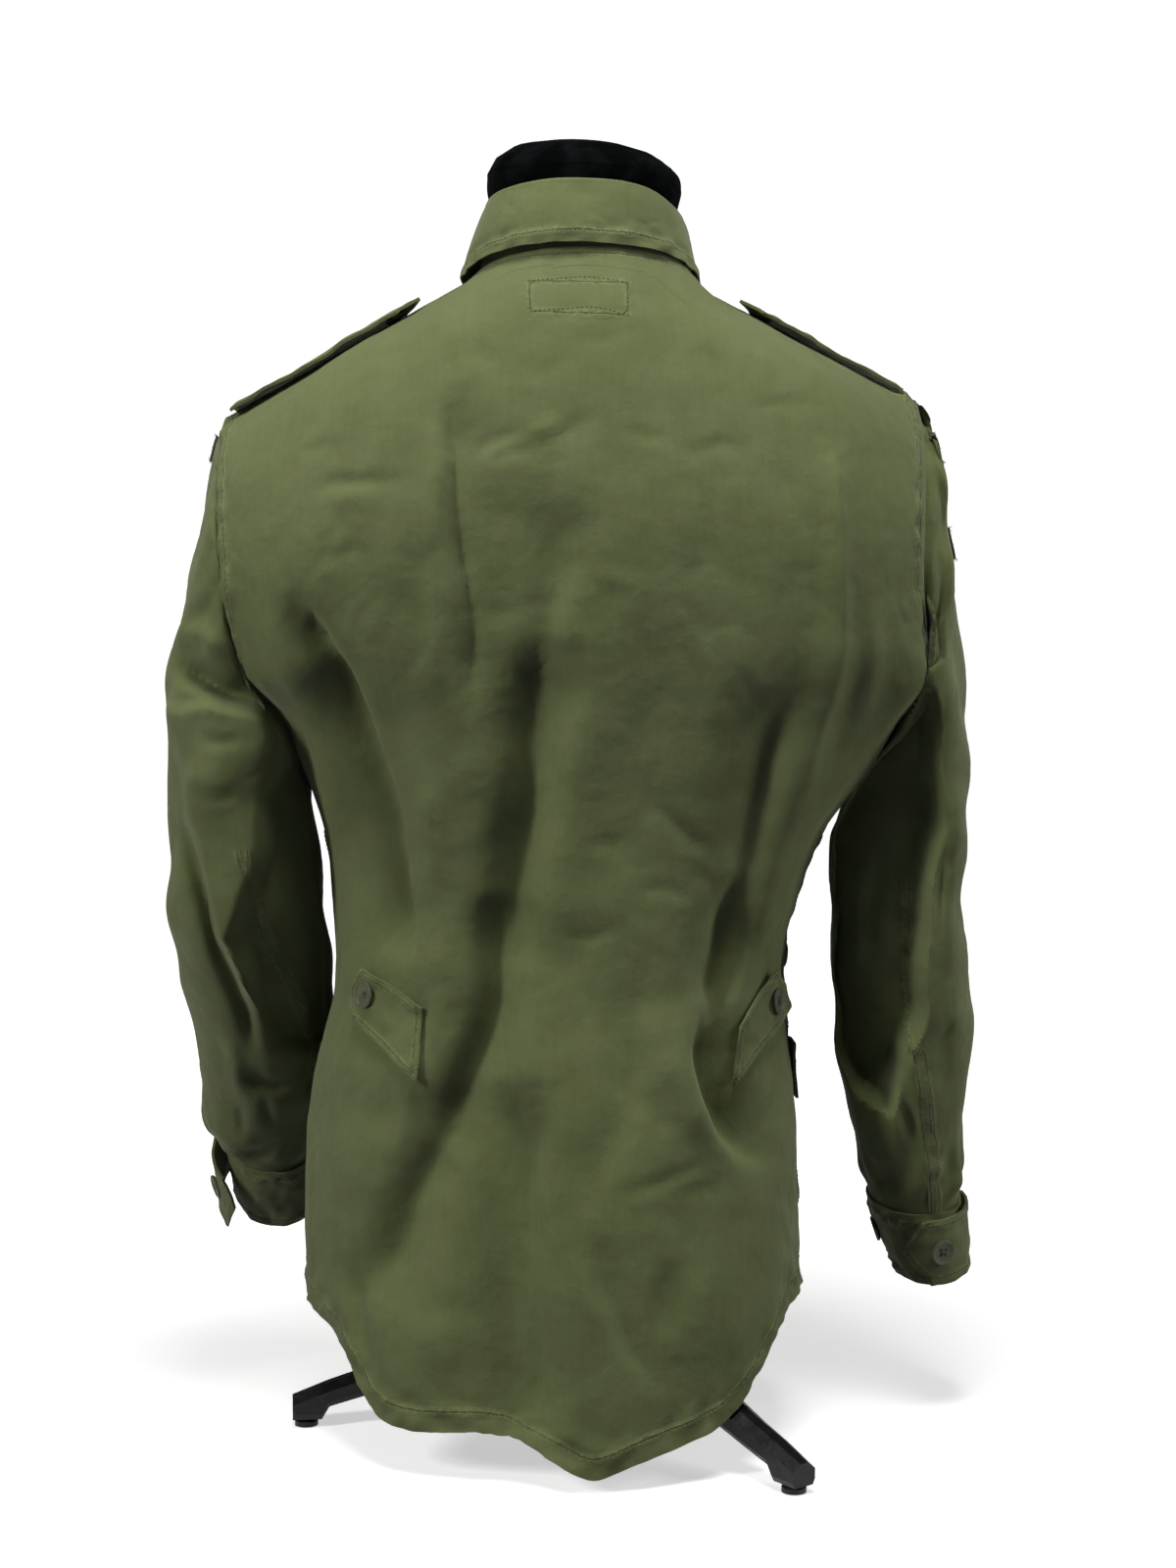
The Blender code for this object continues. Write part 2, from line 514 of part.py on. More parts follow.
# ---------------------------------------------------------------- body panels
def fold_shift(grid, normals, folds, calm):
    """How far each point moves along its normal for the folds that its face shows."""
    shift = np.zeros(grid.shape[:2])
    flat = grid[..., [0, 2]]
    for fold in folds:
        line = smooth_line(fold.points, 40)
        run = np.concatenate([[0.0], np.cumsum(np.linalg.norm(np.diff(line, axis=0), axis=1))])
        gap = np.linalg.norm(flat[:, :, None] - line[None, None], axis=3)
        near = gap.argmin(axis=2)
        distance = gap.min(axis=2)
        ends = ease(np.minimum(run, run[-1] - run) / FOLD_END)[near]
        facing = ease(normals[..., 1] * fold.face / 0.45)
        shift += fold.depth * np.exp(-(distance / fold.width) ** 2) * ends * facing
    return shift * calm


def neck_and_shoulder(side, share, front):
    """The panel's top edge: neckline from the centre to the shoulder, then the shoulder seam."""
    sign = 1 if side == "left" else -1
    centre_y, centre_z = CENTRE_FRONT_NECK if front else CENTRE_BACK_NECK
    edge = EDGE[side][-1]
    neck = NECK_COLUMNS * 2 / BACK_COLUMNS
    turn = np.clip(share / neck, 0, 1) * math.pi / 2
    out = np.clip((share - neck) / (1 - neck), 0, 1)
    x = NECK_HALF * np.sin(turn) + (edge.x - NECK_HALF) * out
    y = NECK_Y + (centre_y - NECK_Y) * np.cos(turn) + (edge.back_y - NECK_Y) * out
    z = NECK_Z[side] + (centre_z - NECK_Z[side]) * np.cos(turn) + (edge.z - NECK_Z[side]) * out
    return np.stack([sign * x, y, z], axis=-1)


def body_rows(side, share, front):
    """Each level's row of points at the given shares of the way from the centre to the edge."""
    sign = 1 if side == "left" else -1
    rows = []
    for centre, edge in zip(CENTRE[:-1], EDGE[side][:-1]):
        turn = math.radians(centre.turn)
        across = (np.sin(share * turn) / math.sin(turn)) ** centre.box
        inward = ((np.cos(share * turn) - math.cos(turn)) / (1 - math.cos(turn))) ** centre.box
        edge_x = edge.x - (edge.front_in if front else 0.0)
        edge_y = edge.front_y if front else edge.back_y
        mid_y = centre.front_y if front else centre.back_y
        mid_z = centre.front_z if front else centre.level
        x = edge_x * across
        y = edge_y + (mid_y - edge_y) * inward
        z = mid_z + (edge.z - mid_z) * across ** centre.rise
        if not front:
            curve_x, curve_z = np.array(HEM_CURVE).T
            fade = ease(1 - (centre.level - CENTRE[0].level) / HEM_TOP)
            plain = CENTRE[0].level + (edge.z - CENTRE[0].level) * across ** CENTRE[0].rise
            z = z + fade * (np.interp(sign * x, curve_x, curve_z) - plain)
        rows.append(np.stack([sign * x, y, z], axis=-1))
    rows.append(neck_and_shoulder(side, share, front))
    return np.array(rows)


def body_levels():
    """Levels of the grid rows: even from hem to underarm, then closer towards the shoulder."""
    hem, arm, top = CENTRE[0].level, CENTRE[UNDERARM].level, CENTRE[-1].level
    lower = np.linspace(hem, arm, SKIRT_ROWS + 1)
    left = np.linspace(1, 0, ARM_ROWS + 1)[1:] ** ROW_BUNCH
    return np.concatenate([lower, top - (top - arm) * left])


def calm_share(share, levels):
    """1 inside a panel, falling to 0 at its side edges and under the neckline."""
    edge = ease((1 - share) / EDGE_CALM)
    top = ease((CENTRE[-1].level - 0.02 - levels) / 0.06)
    return top[:, None] * edge[None, :]


def half_body(side, share, front):
    """One side's grid over the whole height: hem row first, from the centre out to the edge."""
    levels = body_levels()
    grid = through([row.level for row in CENTRE], body_rows(side, share, front), levels)
    return grid, calm_share(share, levels)


def inset_edge(grid, columns, distance):
    """Move the last columns of a grid in from its edge, along the rows."""
    for column, neighbour in columns:
        step = grid[:, neighbour] - grid[:, column]
        size = np.linalg.norm(step, axis=1, keepdims=True)
        grid[:, column] += step / size * distance
    return grid


def inset_top(grid, distance):
    """Lower the top row along the columns, away from the neckline and shoulder seams."""
    step = grid[-2] - grid[-1]
    grid[-1] += step / np.linalg.norm(step, axis=1, keepdims=True) * distance
    return grid


def back_grid():
    """The back panel's outer grid, from the right edge to the left edge."""
    share = np.linspace(0, 1, BACK_COLUMNS // 2 + 1)
    left, calm_left = half_body("left", share, False)
    right, calm_right = half_body("right", share, False)
    grid = np.concatenate([right[:, ::-1], left[:, 1:]], axis=1)
    calm = np.concatenate([calm_right[:, ::-1], calm_left[:, 1:]], axis=1)
    normals = -grid_normals(grid)
    grid += normals * fold_shift(grid, normals, BODY_FOLDS, calm)[..., None]
    inset_edge(grid, [(0, 1), (-1, -2)], SEAM)
    return inset_top(grid, TOP_INSET)


def front_line(side, levels):
    """Both fronts' rows as one line: shares from -0.5 on the other side to 1 at this side's seam."""
    knots = [row.level for row in CENTRE]
    share = np.linspace(0, 1, 121)
    here = through(knots, body_rows(side, share, True), levels)
    other = through(knots, body_rows("right" if side == "left" else "left", share[:61], True), levels)
    return np.concatenate([-share[60:0:-1], share]), np.concatenate([other[:, :0:-1], here], axis=1)


def front_grid(side):
    """A front panel's outer grid, from where the fronts meet to the side seam."""
    sign = 1 if side == "left" else -1
    levels = body_levels()
    share, line = front_line(side, levels)
    neck = NECK_COLUMNS * 2 / BACK_COLUMNS
    first = FRONT_NECK_COLUMNS[side]
    grid = np.zeros((len(levels), FRONT_COLUMNS + 1, 3))
    calm = np.zeros((len(levels), FRONT_COLUMNS + 1))
    for r, row in enumerate(line):
        start = np.interp(UNDERLAP_X * sign, row[:, 0] * sign, share)
        at = np.interp(np.arange(FRONT_COLUMNS + 1), [0, first, FRONT_COLUMNS], [start, neck, 1])
        for axis in range(3):
            grid[r, :, axis] = np.interp(at, share, row[:, axis])
        calm[r] = calm_share(np.maximum(at, 0), levels[r:r + 1])[0]
    normals = grid_normals(grid) * sign
    grid += normals * fold_shift(grid, normals, BODY_FOLDS, calm)[..., None]
    inset_edge(grid, [(0, 1), (-1, -2)], SEAM)
    return inset_top(grid, TOP_INSET)


def body_panels():
    """Back and two fronts; returns the surfaces that other pieces lie on."""
    back = back_grid()
    wall("back", back[:, ::-1], WALL, "cloth")
    surfaces = {"back": Surface(back[:, ::-1])}
    for side in ("left", "right"):
        grid = front_grid(side)
        grid = grid if side == "left" else grid[:, ::-1]
        wall("front_" + side, grid, WALL, "cloth")
        surfaces["front_" + side] = Surface(grid)
    return surfaces


# ---------------------------------------------------------------- sleeves
def armhole(side):
    """The armhole's points: from the shoulder down its back edge and up its front edge."""
    levels = body_levels()[SKIRT_ROWS:]
    knots = [row.level for row in CENTRE]
    share = np.array([1.0])
    back = through(knots, body_rows(side, share, False), levels)[:, 0]
    front = through(knots, body_rows(side, share, True), levels)[:, 0]
    return np.concatenate([back[::-1], front[1:-1]])


def armhole_angles(loop):
    """Degrees round the armhole for its points: 0 at the shoulder, 180 at the underarm."""
    closed = np.concatenate([loop, loop[:1]])
    half = ARM_ROWS
    back = lengths(closed[:half + 1]) * 180
    front = 180 + lengths(closed[half:]) * 180
    return np.concatenate([back, front[1:-1]])


def ring_points(side, ring, angles):
    """Points round one sleeve ring at the given angles; 0 is its outer line, 90 its back."""
    sign = 1 if side == "left" else -1
    outer = np.array([ring.outer_x, ring.mid_y, ring.outer_z])
    inner = np.array([ring.inner_x, ring.mid_y, ring.inner_z])
    turn = np.radians(angles + ring.twist)[:, None]
    lean = math.radians(ring.lean)
    deep = np.array([0.0, math.cos(lean), -math.sin(lean)]) * ring.depth
    points = (outer + inner) / 2 + (outer - inner) / 2 * np.cos(turn) + deep * np.sin(turn)
    return points * np.array([sign, 1, 1])


def sleeve_grid(side):
    """The sleeve's outer grid: rows from the armhole to the cuff, columns round it."""
    loop = armhole(side)
    angles = armhole_angles(loop)
    sign = 1 if side == "left" else -1
    rings = [loop + np.array([sign * ARMHOLE_GAP, 0, 0])]
    for ring in SLEEVE[side]:
        moved = loop + np.array([sign * ring.out, 0, 0])
        rings.append(ring_points(side, ring, angles) * ring.own + moved * (1 - ring.own))
    middles = np.array([ring.mean(axis=0) for ring in rings])
    knots = lengths(middles)
    even = np.linspace(0, 1, SLEEVE_ROWS + 1) ** ROW_BUNCH
    grid = through(knots, np.array(rings), even)
    normals = outward(grid, middles, knots, even)
    calm = ease(np.minimum(even, 1 - even) / 0.08)[:, None] * np.ones((1, len(angles)))
    grid += normals * fold_shift(grid, normals, SLEEVE_FOLDS[side], calm)[..., None]
    normals = outward(grid, middles, knots, even)
    normals[0, :, 0] = 0
    normals[0] /= np.linalg.norm(normals[0], axis=1, keepdims=True)
    return grid, normals, angles


def outward(grid, middles, knots, even):
    """Normals of a closed grid, turned away from its middle line."""
    normals = grid_normals(grid, closed=True)
    centre = through(knots, middles, even)[:, None]
    away = np.sign(np.sum(normals * (grid - centre), axis=2, keepdims=True).sum())
    return normals * away


def sleeve_half(name, side, grid, normals, columns):
    """Cut the columns of one half out of the sleeve's grid and build its wall."""
    part = inset_edge(grid[:, columns], [(0, 1), (-1, -2)], SLEEVE_SEAM)
    order = slice(None, None, 1 if side == "left" else -1)
    part = part[::-1, order]
    wall(name, part, WALL, "cloth", normals=normals[:, columns][::-1, order])
    return Surface(part)


def sleeves():
    """Top and under sleeve on each side, split along the back and front seams."""
    surfaces = {}
    for side in ("left", "right"):
        grid, normals, angles = sleeve_grid(side)
        count = len(angles)
        start = int(np.argmin(np.abs(angles - (TOP_SLEEVE[0] % 360))))
        stop = int(np.argmin(np.abs(angles - TOP_SLEEVE[1])))
        top = [c % count for c in range(start, count + stop + 1)]
        under = list(range(stop, start + 1))
        surfaces["sleeve_top_" + side] = sleeve_half("sleeve_top_" + side, side, grid, normals, top)
        surfaces["sleeve_under_" + side] = sleeve_half("sleeve_under_" + side, side, grid, normals, under)
    return surfaces


# ---------------------------------------------------------------- collar
def neck_ring(ring, degrees):
    """Points round the neck: 0 degrees at the centre back, 90 at the wearer's left."""
    turn = np.radians(degrees)
    x = ring.mid + ring.half * np.sin(turn)
    y = (ring.back_y + ring.front_y) / 2 + (ring.back_y - ring.front_y) / 2 * np.cos(turn)
    end_z = np.where(np.cos(turn) > 0, ring.back_z, ring.front_z)
    share = np.abs(np.cos(turn)) ** np.where(np.cos(turn) > 0, 1.0, ring.dip)
    z = ring.side_z + (end_z - ring.side_z) * share + ring.tilt * x
    return np.stack([x, y, z], axis=-1)


def neckline(degrees):
    """The panels' neckline at the same degrees."""
    turn = np.radians(degrees)
    behind = np.cos(turn) > 0
    side_z = np.where(np.sin(turn) > 0, NECK_Z["left"], NECK_Z["right"])
    share = np.abs(np.cos(turn))
    centre = np.where(behind[:, None], CENTRE_BACK_NECK, CENTRE_FRONT_NECK)
    y = NECK_Y + (centre[:, 0] - NECK_Y) * share
    z = side_z + (centre[:, 1] - side_z) * share
    return np.stack([NECK_HALF * np.sin(turn), y, z], axis=-1)


def neck_outward(ring, degrees):
    """Level unit vectors away from the neck."""
    turn = np.radians(degrees)
    out = np.stack([np.sin(turn) / ring.half,
                    np.cos(turn) * 2 / (ring.back_y - ring.front_y), np.zeros_like(turn)], axis=-1)
    return out / np.linalg.norm(out, axis=1, keepdims=True)


def collar():
    """Stand and fall, open at the front; columns run from the wearer's left end to the right."""
    inner = np.arange(-180 + COLLAR_STEP, 180, COLLAR_STEP)[::-1]
    degrees = np.concatenate([[COLLAR_END], inner, [-COLLAR_END]])
    up = np.array([0.0, 0.0, 1.0])
    out = neck_outward(COLLAR_TOP, degrees)
    crest = neck_ring(COLLAR_TOP, degrees) - up * COLLAR_ROLL
    seam = neckline(degrees) + up * COLLAR_RISE
    top = crest - out * (COLLAR_ROLL - WALL) - up * SEAM
    stand_rows = [seam + (top - seam) * step for step in np.linspace(0, 1, STAND_ROWS)]
    wall("collar_stand", np.array(stand_rows), WALL, "cloth")
    edge = neck_ring(COLLAR_EDGE, degrees)
    round_fold = []
    for angle in FOLD_ANGLES:
        turn = math.radians(angle)
        round_fold.append(out * math.cos(turn) + up * math.sin(turn))
    rows = [crest + direction * COLLAR_ROLL for direction in round_fold]
    start = rows[-1]
    for step in FALL_STEPS:
        rows.append(start + (edge - start) * step + out * COLLAR_SWELL * math.sin(step * math.pi))
    fall = np.array(rows[::-1])
    normals = grid_normals(fall)
    normals[-len(round_fold):] = np.array(round_fold[::-1])
    wall("collar_fall", fall, WALL, "cloth", normals=normals)


# ---------------------------------------------------------------- pieces that lie on panels
def strip(surface, uv, lift, thickness, name, slot):
    """A flat piece whose points are the surface's at the grid uv, moved out."""
    u, v = uv
    normals = surface.normal(u, v)
    inner = surface.point(u, v) + normals * lift
    wall(name, inner + normals * thickness, thickness, slot, normals=normals)


def button(name, point, normal):
    """A round button's body: a dished disc with a raised rim."""
    helper = np.array([0.0, 0.0, 1.0]) if abs(normal[2]) < 0.9 else np.array([1.0, 0.0, 0.0])
    side = np.cross(helper, normal)
    side /= np.linalg.norm(side)
    other = np.cross(normal, side)
    turn = np.linspace(0, 2 * math.pi, BUTTON_SIDES, endpoint=False)
    circle = (np.cos(turn)[:, None] * side + np.sin(turn)[:, None] * other) * BUTTON_HALF
    rings = [point + normal * high * BUTTON_HIGH + circle * reach for reach, high in BUTTON_PROFILE]
    verts = np.concatenate([[point], *rings, [point + normal * BUTTON_WELL * BUTTON_HIGH]])
    faces = []
    last = 1 + (len(rings) - 1) * BUTTON_SIDES
    for k in range(BUTTON_SIDES):
        n = (k + 1) % BUTTON_SIDES
        faces.append((0, 1 + n, 1 + k))
        for a in range(1, last, BUTTON_SIDES):
            faces.append((a + k, a + n, a + BUTTON_SIDES + n, a + BUTTON_SIDES + k))
        faces.append((last + k, last + n, len(verts) - 1))
    return make_object(name, verts, faces, "button")


def button_on(name, surface, u, v, height):
    """A button whose back lies above the surface at u, v."""
    normal = surface.normal(u, v)
    button(name, surface.point(u, v) + normal * height, normal)


def level_rows(surface, columns, heights):
    """u of the surface's columns at the given heights, rows by columns; both rise together."""
    last = surface.grid.shape[0] - 1
    rows = np.arange(last + 1) / last
    u = np.zeros((len(heights), len(columns)))
    for c, column in enumerate(columns):
        z = surface.point(rows, column / (surface.grid.shape[1] - 1))[:, 2]
        for r, height in enumerate(heights):
            u[r, c] = np.interp(height if np.ndim(height) == 0 else height[c], z, rows)
    return u


def waist_tabs(surfaces):
    """Tabs at the back of the waist, each held by a button, with a second button further on."""
    back = surfaces["back"]
    for side, tab in WAIST_TAB.items():
        over = np.linspace(0, 1, TAB_COLUMNS)
        sewn = through([0, 1], [tab.sewn_low, tab.sewn_high], over)
        free = through([0, 0.5, 1], [tab.low, tab.tip, tab.high], over)
        u = np.zeros((TAB_ROWS + 1, len(over)))
        v = np.zeros_like(u)
        for r in range(TAB_ROWS + 1):
            for c in range(len(over)):
                x, z = sewn[c] + (free[c] - sewn[c]) * r / TAB_ROWS
                u[r, c], v[r, c] = back.seek(x, z)
        if side == "right":
            u, v = u[::-1], v[::-1]
        strip(back, (u.T, v.T), tab.lift, BAND, "waist_tab_" + side, "cloth")
        u, v = back.seek(*tab.button)
        button_on("button_waist_" + side, back, u, v, tab.lift + BAND + BUTTON_LIFT)
        front = surfaces["front_" + side]
        u, v = front.seek(*tab.second)
        button_on("button_side_" + side, front, u, v, BUTTON_LIFT)


def placket_and_buttons():
    """The button stand over the meeting of the fronts, from the neckline to the hem."""
    share, line = front_line("left", body_levels())
    grid = np.zeros((len(line), len(PLACKET_X), 3))
    for r, row in enumerate(line):
        for axis in range(3):
            grid[r, :, axis] = np.interp(PLACKET_X, row[:, 0], row[:, axis])
    inset_top(grid, PLACKET_TOP)
    surface = Surface(grid)
    u, v = np.meshgrid(np.linspace(0, 1, grid.shape[0]), np.linspace(0, 1, grid.shape[1]), indexing="ij")
    strip(surface, (u, v), PLACKET_LIFT, BAND, "placket", "cloth")
    for k, u in enumerate(np.linspace(PLACKET_FIRST, PLACKET_LAST, PLACKET_BUTTONS)):
        button_on("button_front_%d" % (k + 1), surface, u, 0.5, PLACKET_LIFT + BAND + BUTTON_LIFT)


def pockets(surfaces):
    """Patch pockets with pointed flaps on the skirts of the fronts."""
    for side, (first, last) in POCKET_COLUMNS.items():
        front = surfaces["front_" + side]
        columns = np.arange(first, last + 1)
        columns = columns if side == "left" else FRONT_COLUMNS - columns[::-1]
        v = columns / FRONT_COLUMNS
        u = level_rows(front, columns, np.linspace(POCKET_TOP_Z - POCKET_HIGH, POCKET_TOP_Z, POCKET_ROWS))
        strip(front, (u, np.ones((POCKET_ROWS, 1)) * v), REST, WALL, "pocket_" + side, "cloth")
        low = POCKET_TOP_Z + FLAP_ABOVE - FLAP_HIGH + FLAP_POINT * np.abs(np.linspace(-1, 1, len(v)))
        top = POCKET_TOP_Z + FLAP_ABOVE
        u = level_rows(front, columns, [low + (top - low) * step for step in np.linspace(0, 1, FLAP_ROWS)])
        flare = np.zeros((FLAP_ROWS, len(v)))
        flare[:, -1 if side == "left" else 0] = FLAP_FLARE * np.linspace(1, 0, FLAP_ROWS)
        lift = REST * 2 + WALL + flare[..., None]
        strip(front, (u, np.ones((FLAP_ROWS, 1)) * v), lift, BAND, "pocket_flap_" + side, "cloth")


def cuff_surface(side):
    """The cuff's outer grid, rows from its lower edge up, columns round it."""
    angles = np.arange(0, 360, 360 / CUFF_COLUMNS)
    top, bottom = (ring_points(side, ring, angles) for ring in CUFF[side])
    grid = np.array([bottom + (top - bottom) * step for step in np.linspace(0, 1, CUFF_ROWS)])
    return grid if side == "left" else grid[:, ::-1]


def cuffs():
    """Cuff bands, each with a pointed tab and two buttons."""
    for side, row in CUFF_TAB.items():
        grid = cuff_surface(side)
        wall("cuff_" + side, grid, BAND, "cloth", closed=True)
        normals = grid_normals(grid, closed=True)
        step = 360 / CUFF_COLUMNS
        steps = np.arange(round(row.start / step), round(row.tip / step) + 1)
        columns = steps if side == "left" else CUFF_COLUMNS - 1 - steps
        squeeze = np.abs(TAB_EDGES - 0.5) / (TAB_EDGES[-1] - 0.5)
        points = np.zeros((len(TAB_EDGES), len(columns), 3))
        facing = np.zeros_like(points)
        for c, column in enumerate(columns % CUFF_COLUMNS):
            for r, share in enumerate(TAB_EDGES):
                points[r, c] = grid[0, column] + (grid[-1, column] - grid[0, column]) * share
            facing[:, c] = normals[1, column]
        tip = points[:, -1] - points[:, -2]
        points[:, -1] = points[:, -2] + tip * (1 - TAB_POINT * squeeze[:, None])
        lift = REST + row.off * np.linspace(0, 1, len(columns))[None, :, None] ** TAB_CURL
        outer = points + facing * (lift + BAND)
        if side == "right":
            outer, facing = outer[:, ::-1], facing[:, ::-1]
        wall("cuff_tab_" + side, outer, BAND, "cloth", normals=facing)
        seats = np.array([row.button, row.spare])
        middle = (ring_points(side, CUFF[side][0], seats) + ring_points(side, CUFF[side][1], seats)) / 2
        off = row.off * ((row.button - row.start) / (row.tip - row.start)) ** TAB_CURL
        heights = (REST + BAND + BUTTON_LIFT + off, BUTTON_LIFT)
        for k, name in enumerate(("", "spare_")):
            column = round(seats[k] / step)
            column = column if side == "left" else CUFF_COLUMNS - 1 - column
            normal = normals[1, column % CUFF_COLUMNS]
            button("button_cuff_" + name + side, middle[k] + normal * heights[k], normal)


def epaulettes():
    """Straps along the shoulder seams, from the armhole to a pointed, buttoned end by the collar."""
    for side, row in EPAULETTE.items():
        sign = 1 if side == "left" else -1
        outer = np.array([EDGE[side][-1].x, 0.0, EDGE[side][-1].z])
        inner = np.array([NECK_HALF, 0.0, NECK_Z[side]])
        along = (inner - outer) / np.linalg.norm(inner - outer)
        rows = []
        for step in np.linspace(0, 1, STRAP_ROWS):
            base = outer + (inner - outer) * (row.start + (row.end - row.start) * step)
            base[1] = row.outer_y + (row.inner_y - row.outer_y) * step
            cells = []
            for part in np.linspace(-1, 1, STRAP_COLUMNS):
                cell = base - along * abs(part) * STRAP_POINT * step ** 4
                cell = cell + np.array([0, part * STRAP_HALF, 0])
                cell[2] += STRAP_LIFT + BAND + STRAP_RAISE * step ** 2 - STRAP_DROOP * part ** 2
                cells.append(cell * np.array([sign, 1, 1]))
            rows.append(cells)
        grid = np.array(rows)
        grid = grid[::-1] if side == "left" else grid
        wall("epaulette_" + side, grid, BAND, "cloth")
        surface = Surface(grid)
        u = 1 - STRAP_BUTTON if side == "left" else STRAP_BUTTON
        button_on("button_epaulette_" + side, surface, u, 0.5, REST)


def patches(surfaces):
    """Bare cloth patches on the outer faces of the sleeves."""
    for name, row in PATCHES.items():
        surface = surfaces["sleeve_top_" + row.side]
        sign = 1 if row.side == "left" else -1
        last = surface.grid.shape[1] - 1
        _, v = surface.seek(sign * row.x, row.z)
        first = round(v * last) - row.columns // 2
        columns = np.clip(np.linspace(first, first + row.columns, row.columns * 2 + 1), 0, last)
        tall = level_rows(surface, columns, row.z + np.linspace(-row.high / 2, row.high / 2, PATCH_ROWS))
        over = np.ones((PATCH_ROWS, 1)) * columns / last
        strip(surface, (tall, over), PATCH_LIFT, PATCH, name, "patch")


# ---------------------------------------------------------------- dress form and stand
def form_ring(z, left, right, front, back, point):
    """A level ring round the form: superellipse quarters with their own reaches."""
    turn = np.linspace(0, 2 * math.pi, FORM_COLUMNS, endpoint=False)
    c, s = np.cos(turn), np.sin(turn)
    x = np.sign(c) * np.abs(c) ** point * np.where(c > 0, left, right)
    y = np.sign(s) * np.abs(s) ** point * np.where(s > 0, back, -front)
    return np.stack([x, y, np.full_like(x, z)], axis=-1)


def shoulder_reach(side, z):
    """How far out the form's shoulder line is at a height: the seam's line, lowered."""
    edge = EDGE[side][-1]
    slope = (NECK_Z[side] - edge.z) / (edge.x - NECK_HALF)
    return edge.x - (z + RIDGE_DROP - edge.z) / slope


def dress_form(surfaces):
    """The limbless form: torso, sloping shoulders, neck and domed cap, one smooth solid."""
    rings = [form_ring(*row) for row in FORM]
    last = FORM[-1]
    for step in np.linspace(0, 1, FORM_SHOULDER_STEPS + 1)[1:]:
        z = last.z + (FORM_NECK_Z - last.z) * step
        rings.append(form_ring(z, min(shoulder_reach("left", z), last.left),
                               min(shoulder_reach("right", z), last.right),
                               last.front + (FORM_NECK_FRONT - last.front) * step,
                               last.back + (FORM_NECK_BACK - last.back) * step,
                               last.point - FORM_NECK_ROUND * step ** 2))
    rings = np.array(rings)
    cloth = cover(surfaces)
    for r, c in np.argwhere(rings[:, :, 2] > FORM[-3].z):
        hit, normal, _, _ = cloth.ray_cast(Vector((*rings[r, c, :2], 1.0)), Vector((0, 0, -1)))
        if hit is not None:
            under = hit.z - (WALL + SHOULDER_GAP) / max(abs(normal.z), 0.3)
            rings[r, c, 2] = min(rings[r, c, 2], under)
    rings = list(rings)
    for z, half, tilt in NECK_RINGS:
        ring = form_ring(z, half, half, -half, half, 1.0) + np.array([*NECK_MID, 0.0])
        ring[:, 2] += tilt * ring[:, 0]
        rings.append(ring)
    return lofted("dress_form", rings, "velvet")


def cover(surfaces):
    """The back and fronts as one tree of faces, to look for from above."""
    verts = []
    faces = []
    for name in ("back", "front_left", "front_right"):
        grid = surfaces[name].grid
        rows, columns = grid.shape[:2]
        start = len(verts)
        verts.extend(Vector(point) for point in grid.reshape(-1, 3))
        for r in range(rows - 1):
            for c in range(columns - 1):
                at = start + r * columns + c
                faces.append((at, at + 1, at + columns + 1, at + columns))
    return BVHTree.FromPolygons(verts, faces)


def turned(name, profile, x, y, slot):
    """A solid of revolution about a vertical line, from (radius, z) pairs, bottom first."""
    turn = np.linspace(0, 2 * math.pi, ROUND_COUNT, endpoint=False)
    circle = np.stack([np.cos(turn), np.sin(turn), np.zeros(ROUND_COUNT)], axis=-1)
    lofted(name, [circle * radius + np.array([x, y, z]) for radius, z in profile], slot)


def stand():
    """Post, hub, three cast legs with bevelled tops and their levelling pads."""
    middle = np.array([*STAND_MID, 0.0])
    turned("hub", HUB, *STAND_MID, "iron")
    post = [(POST_RADIUS, HUB[-1][1] + SEAM), (POST_RADIUS, FORM[0].z - SEAM)]
    turned("post", post, *STAND_MID, "iron")
    for name, angle in LEG_ANGLES.items():
        turn = math.radians(angle)
        along = np.array([math.cos(turn), math.sin(turn), 0.0])
        side = np.array([-math.sin(turn), math.cos(turn), 0.0])
        rings = []
        for row in LEG:
            base = middle + along * row.reach
            heights = {"bottom": row.bottom, "top": row.top}
            rings.append(np.array([base + side * row.half * share + np.array([0, 0, heights[end] + inset])
                                   for share, end, inset in LEG_OUTLINE]))
        lofted("leg_" + name, rings, "iron", smooth=False)
        x, y, _ = middle + along * PAD_REACH
        turned("pad_" + name, PAD, x, y, "iron")


def settle():
    """Hang every piece on one empty that puts the part's middle over the origin, on the floor."""
    pieces = [piece for piece in bpy.data.objects if piece.type == "MESH"]
    points = np.concatenate([np.array([v.co[:] for v in piece.data.vertices]) for piece in pieces])
    low, high = points.min(axis=0), points.max(axis=0)
    root = bpy.data.objects.new("jacket_root", None)
    root.location = (-(low[0] + high[0]) / 2, -(low[1] + high[1]) / 2, -low[2])
    bpy.context.scene.collection.objects.link(root)
    for piece in pieces:
        piece.parent = root


def main():
    for old in list(bpy.data.objects):
        bpy.data.objects.remove(old)
    surfaces = body_panels()
    surfaces.update(sleeves())
    collar()
    epaulettes()
    waist_tabs(surfaces)
    placket_and_buttons()
    pockets(surfaces)
    cuffs()
    patches(surfaces)
    dress_form(surfaces)
    stand()
    settle()


main()
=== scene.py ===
"""Looks of the field jacket on its dress form: cloth, seams, stitching, velvet, cast iron and light."""
import math
from collections import namedtuple

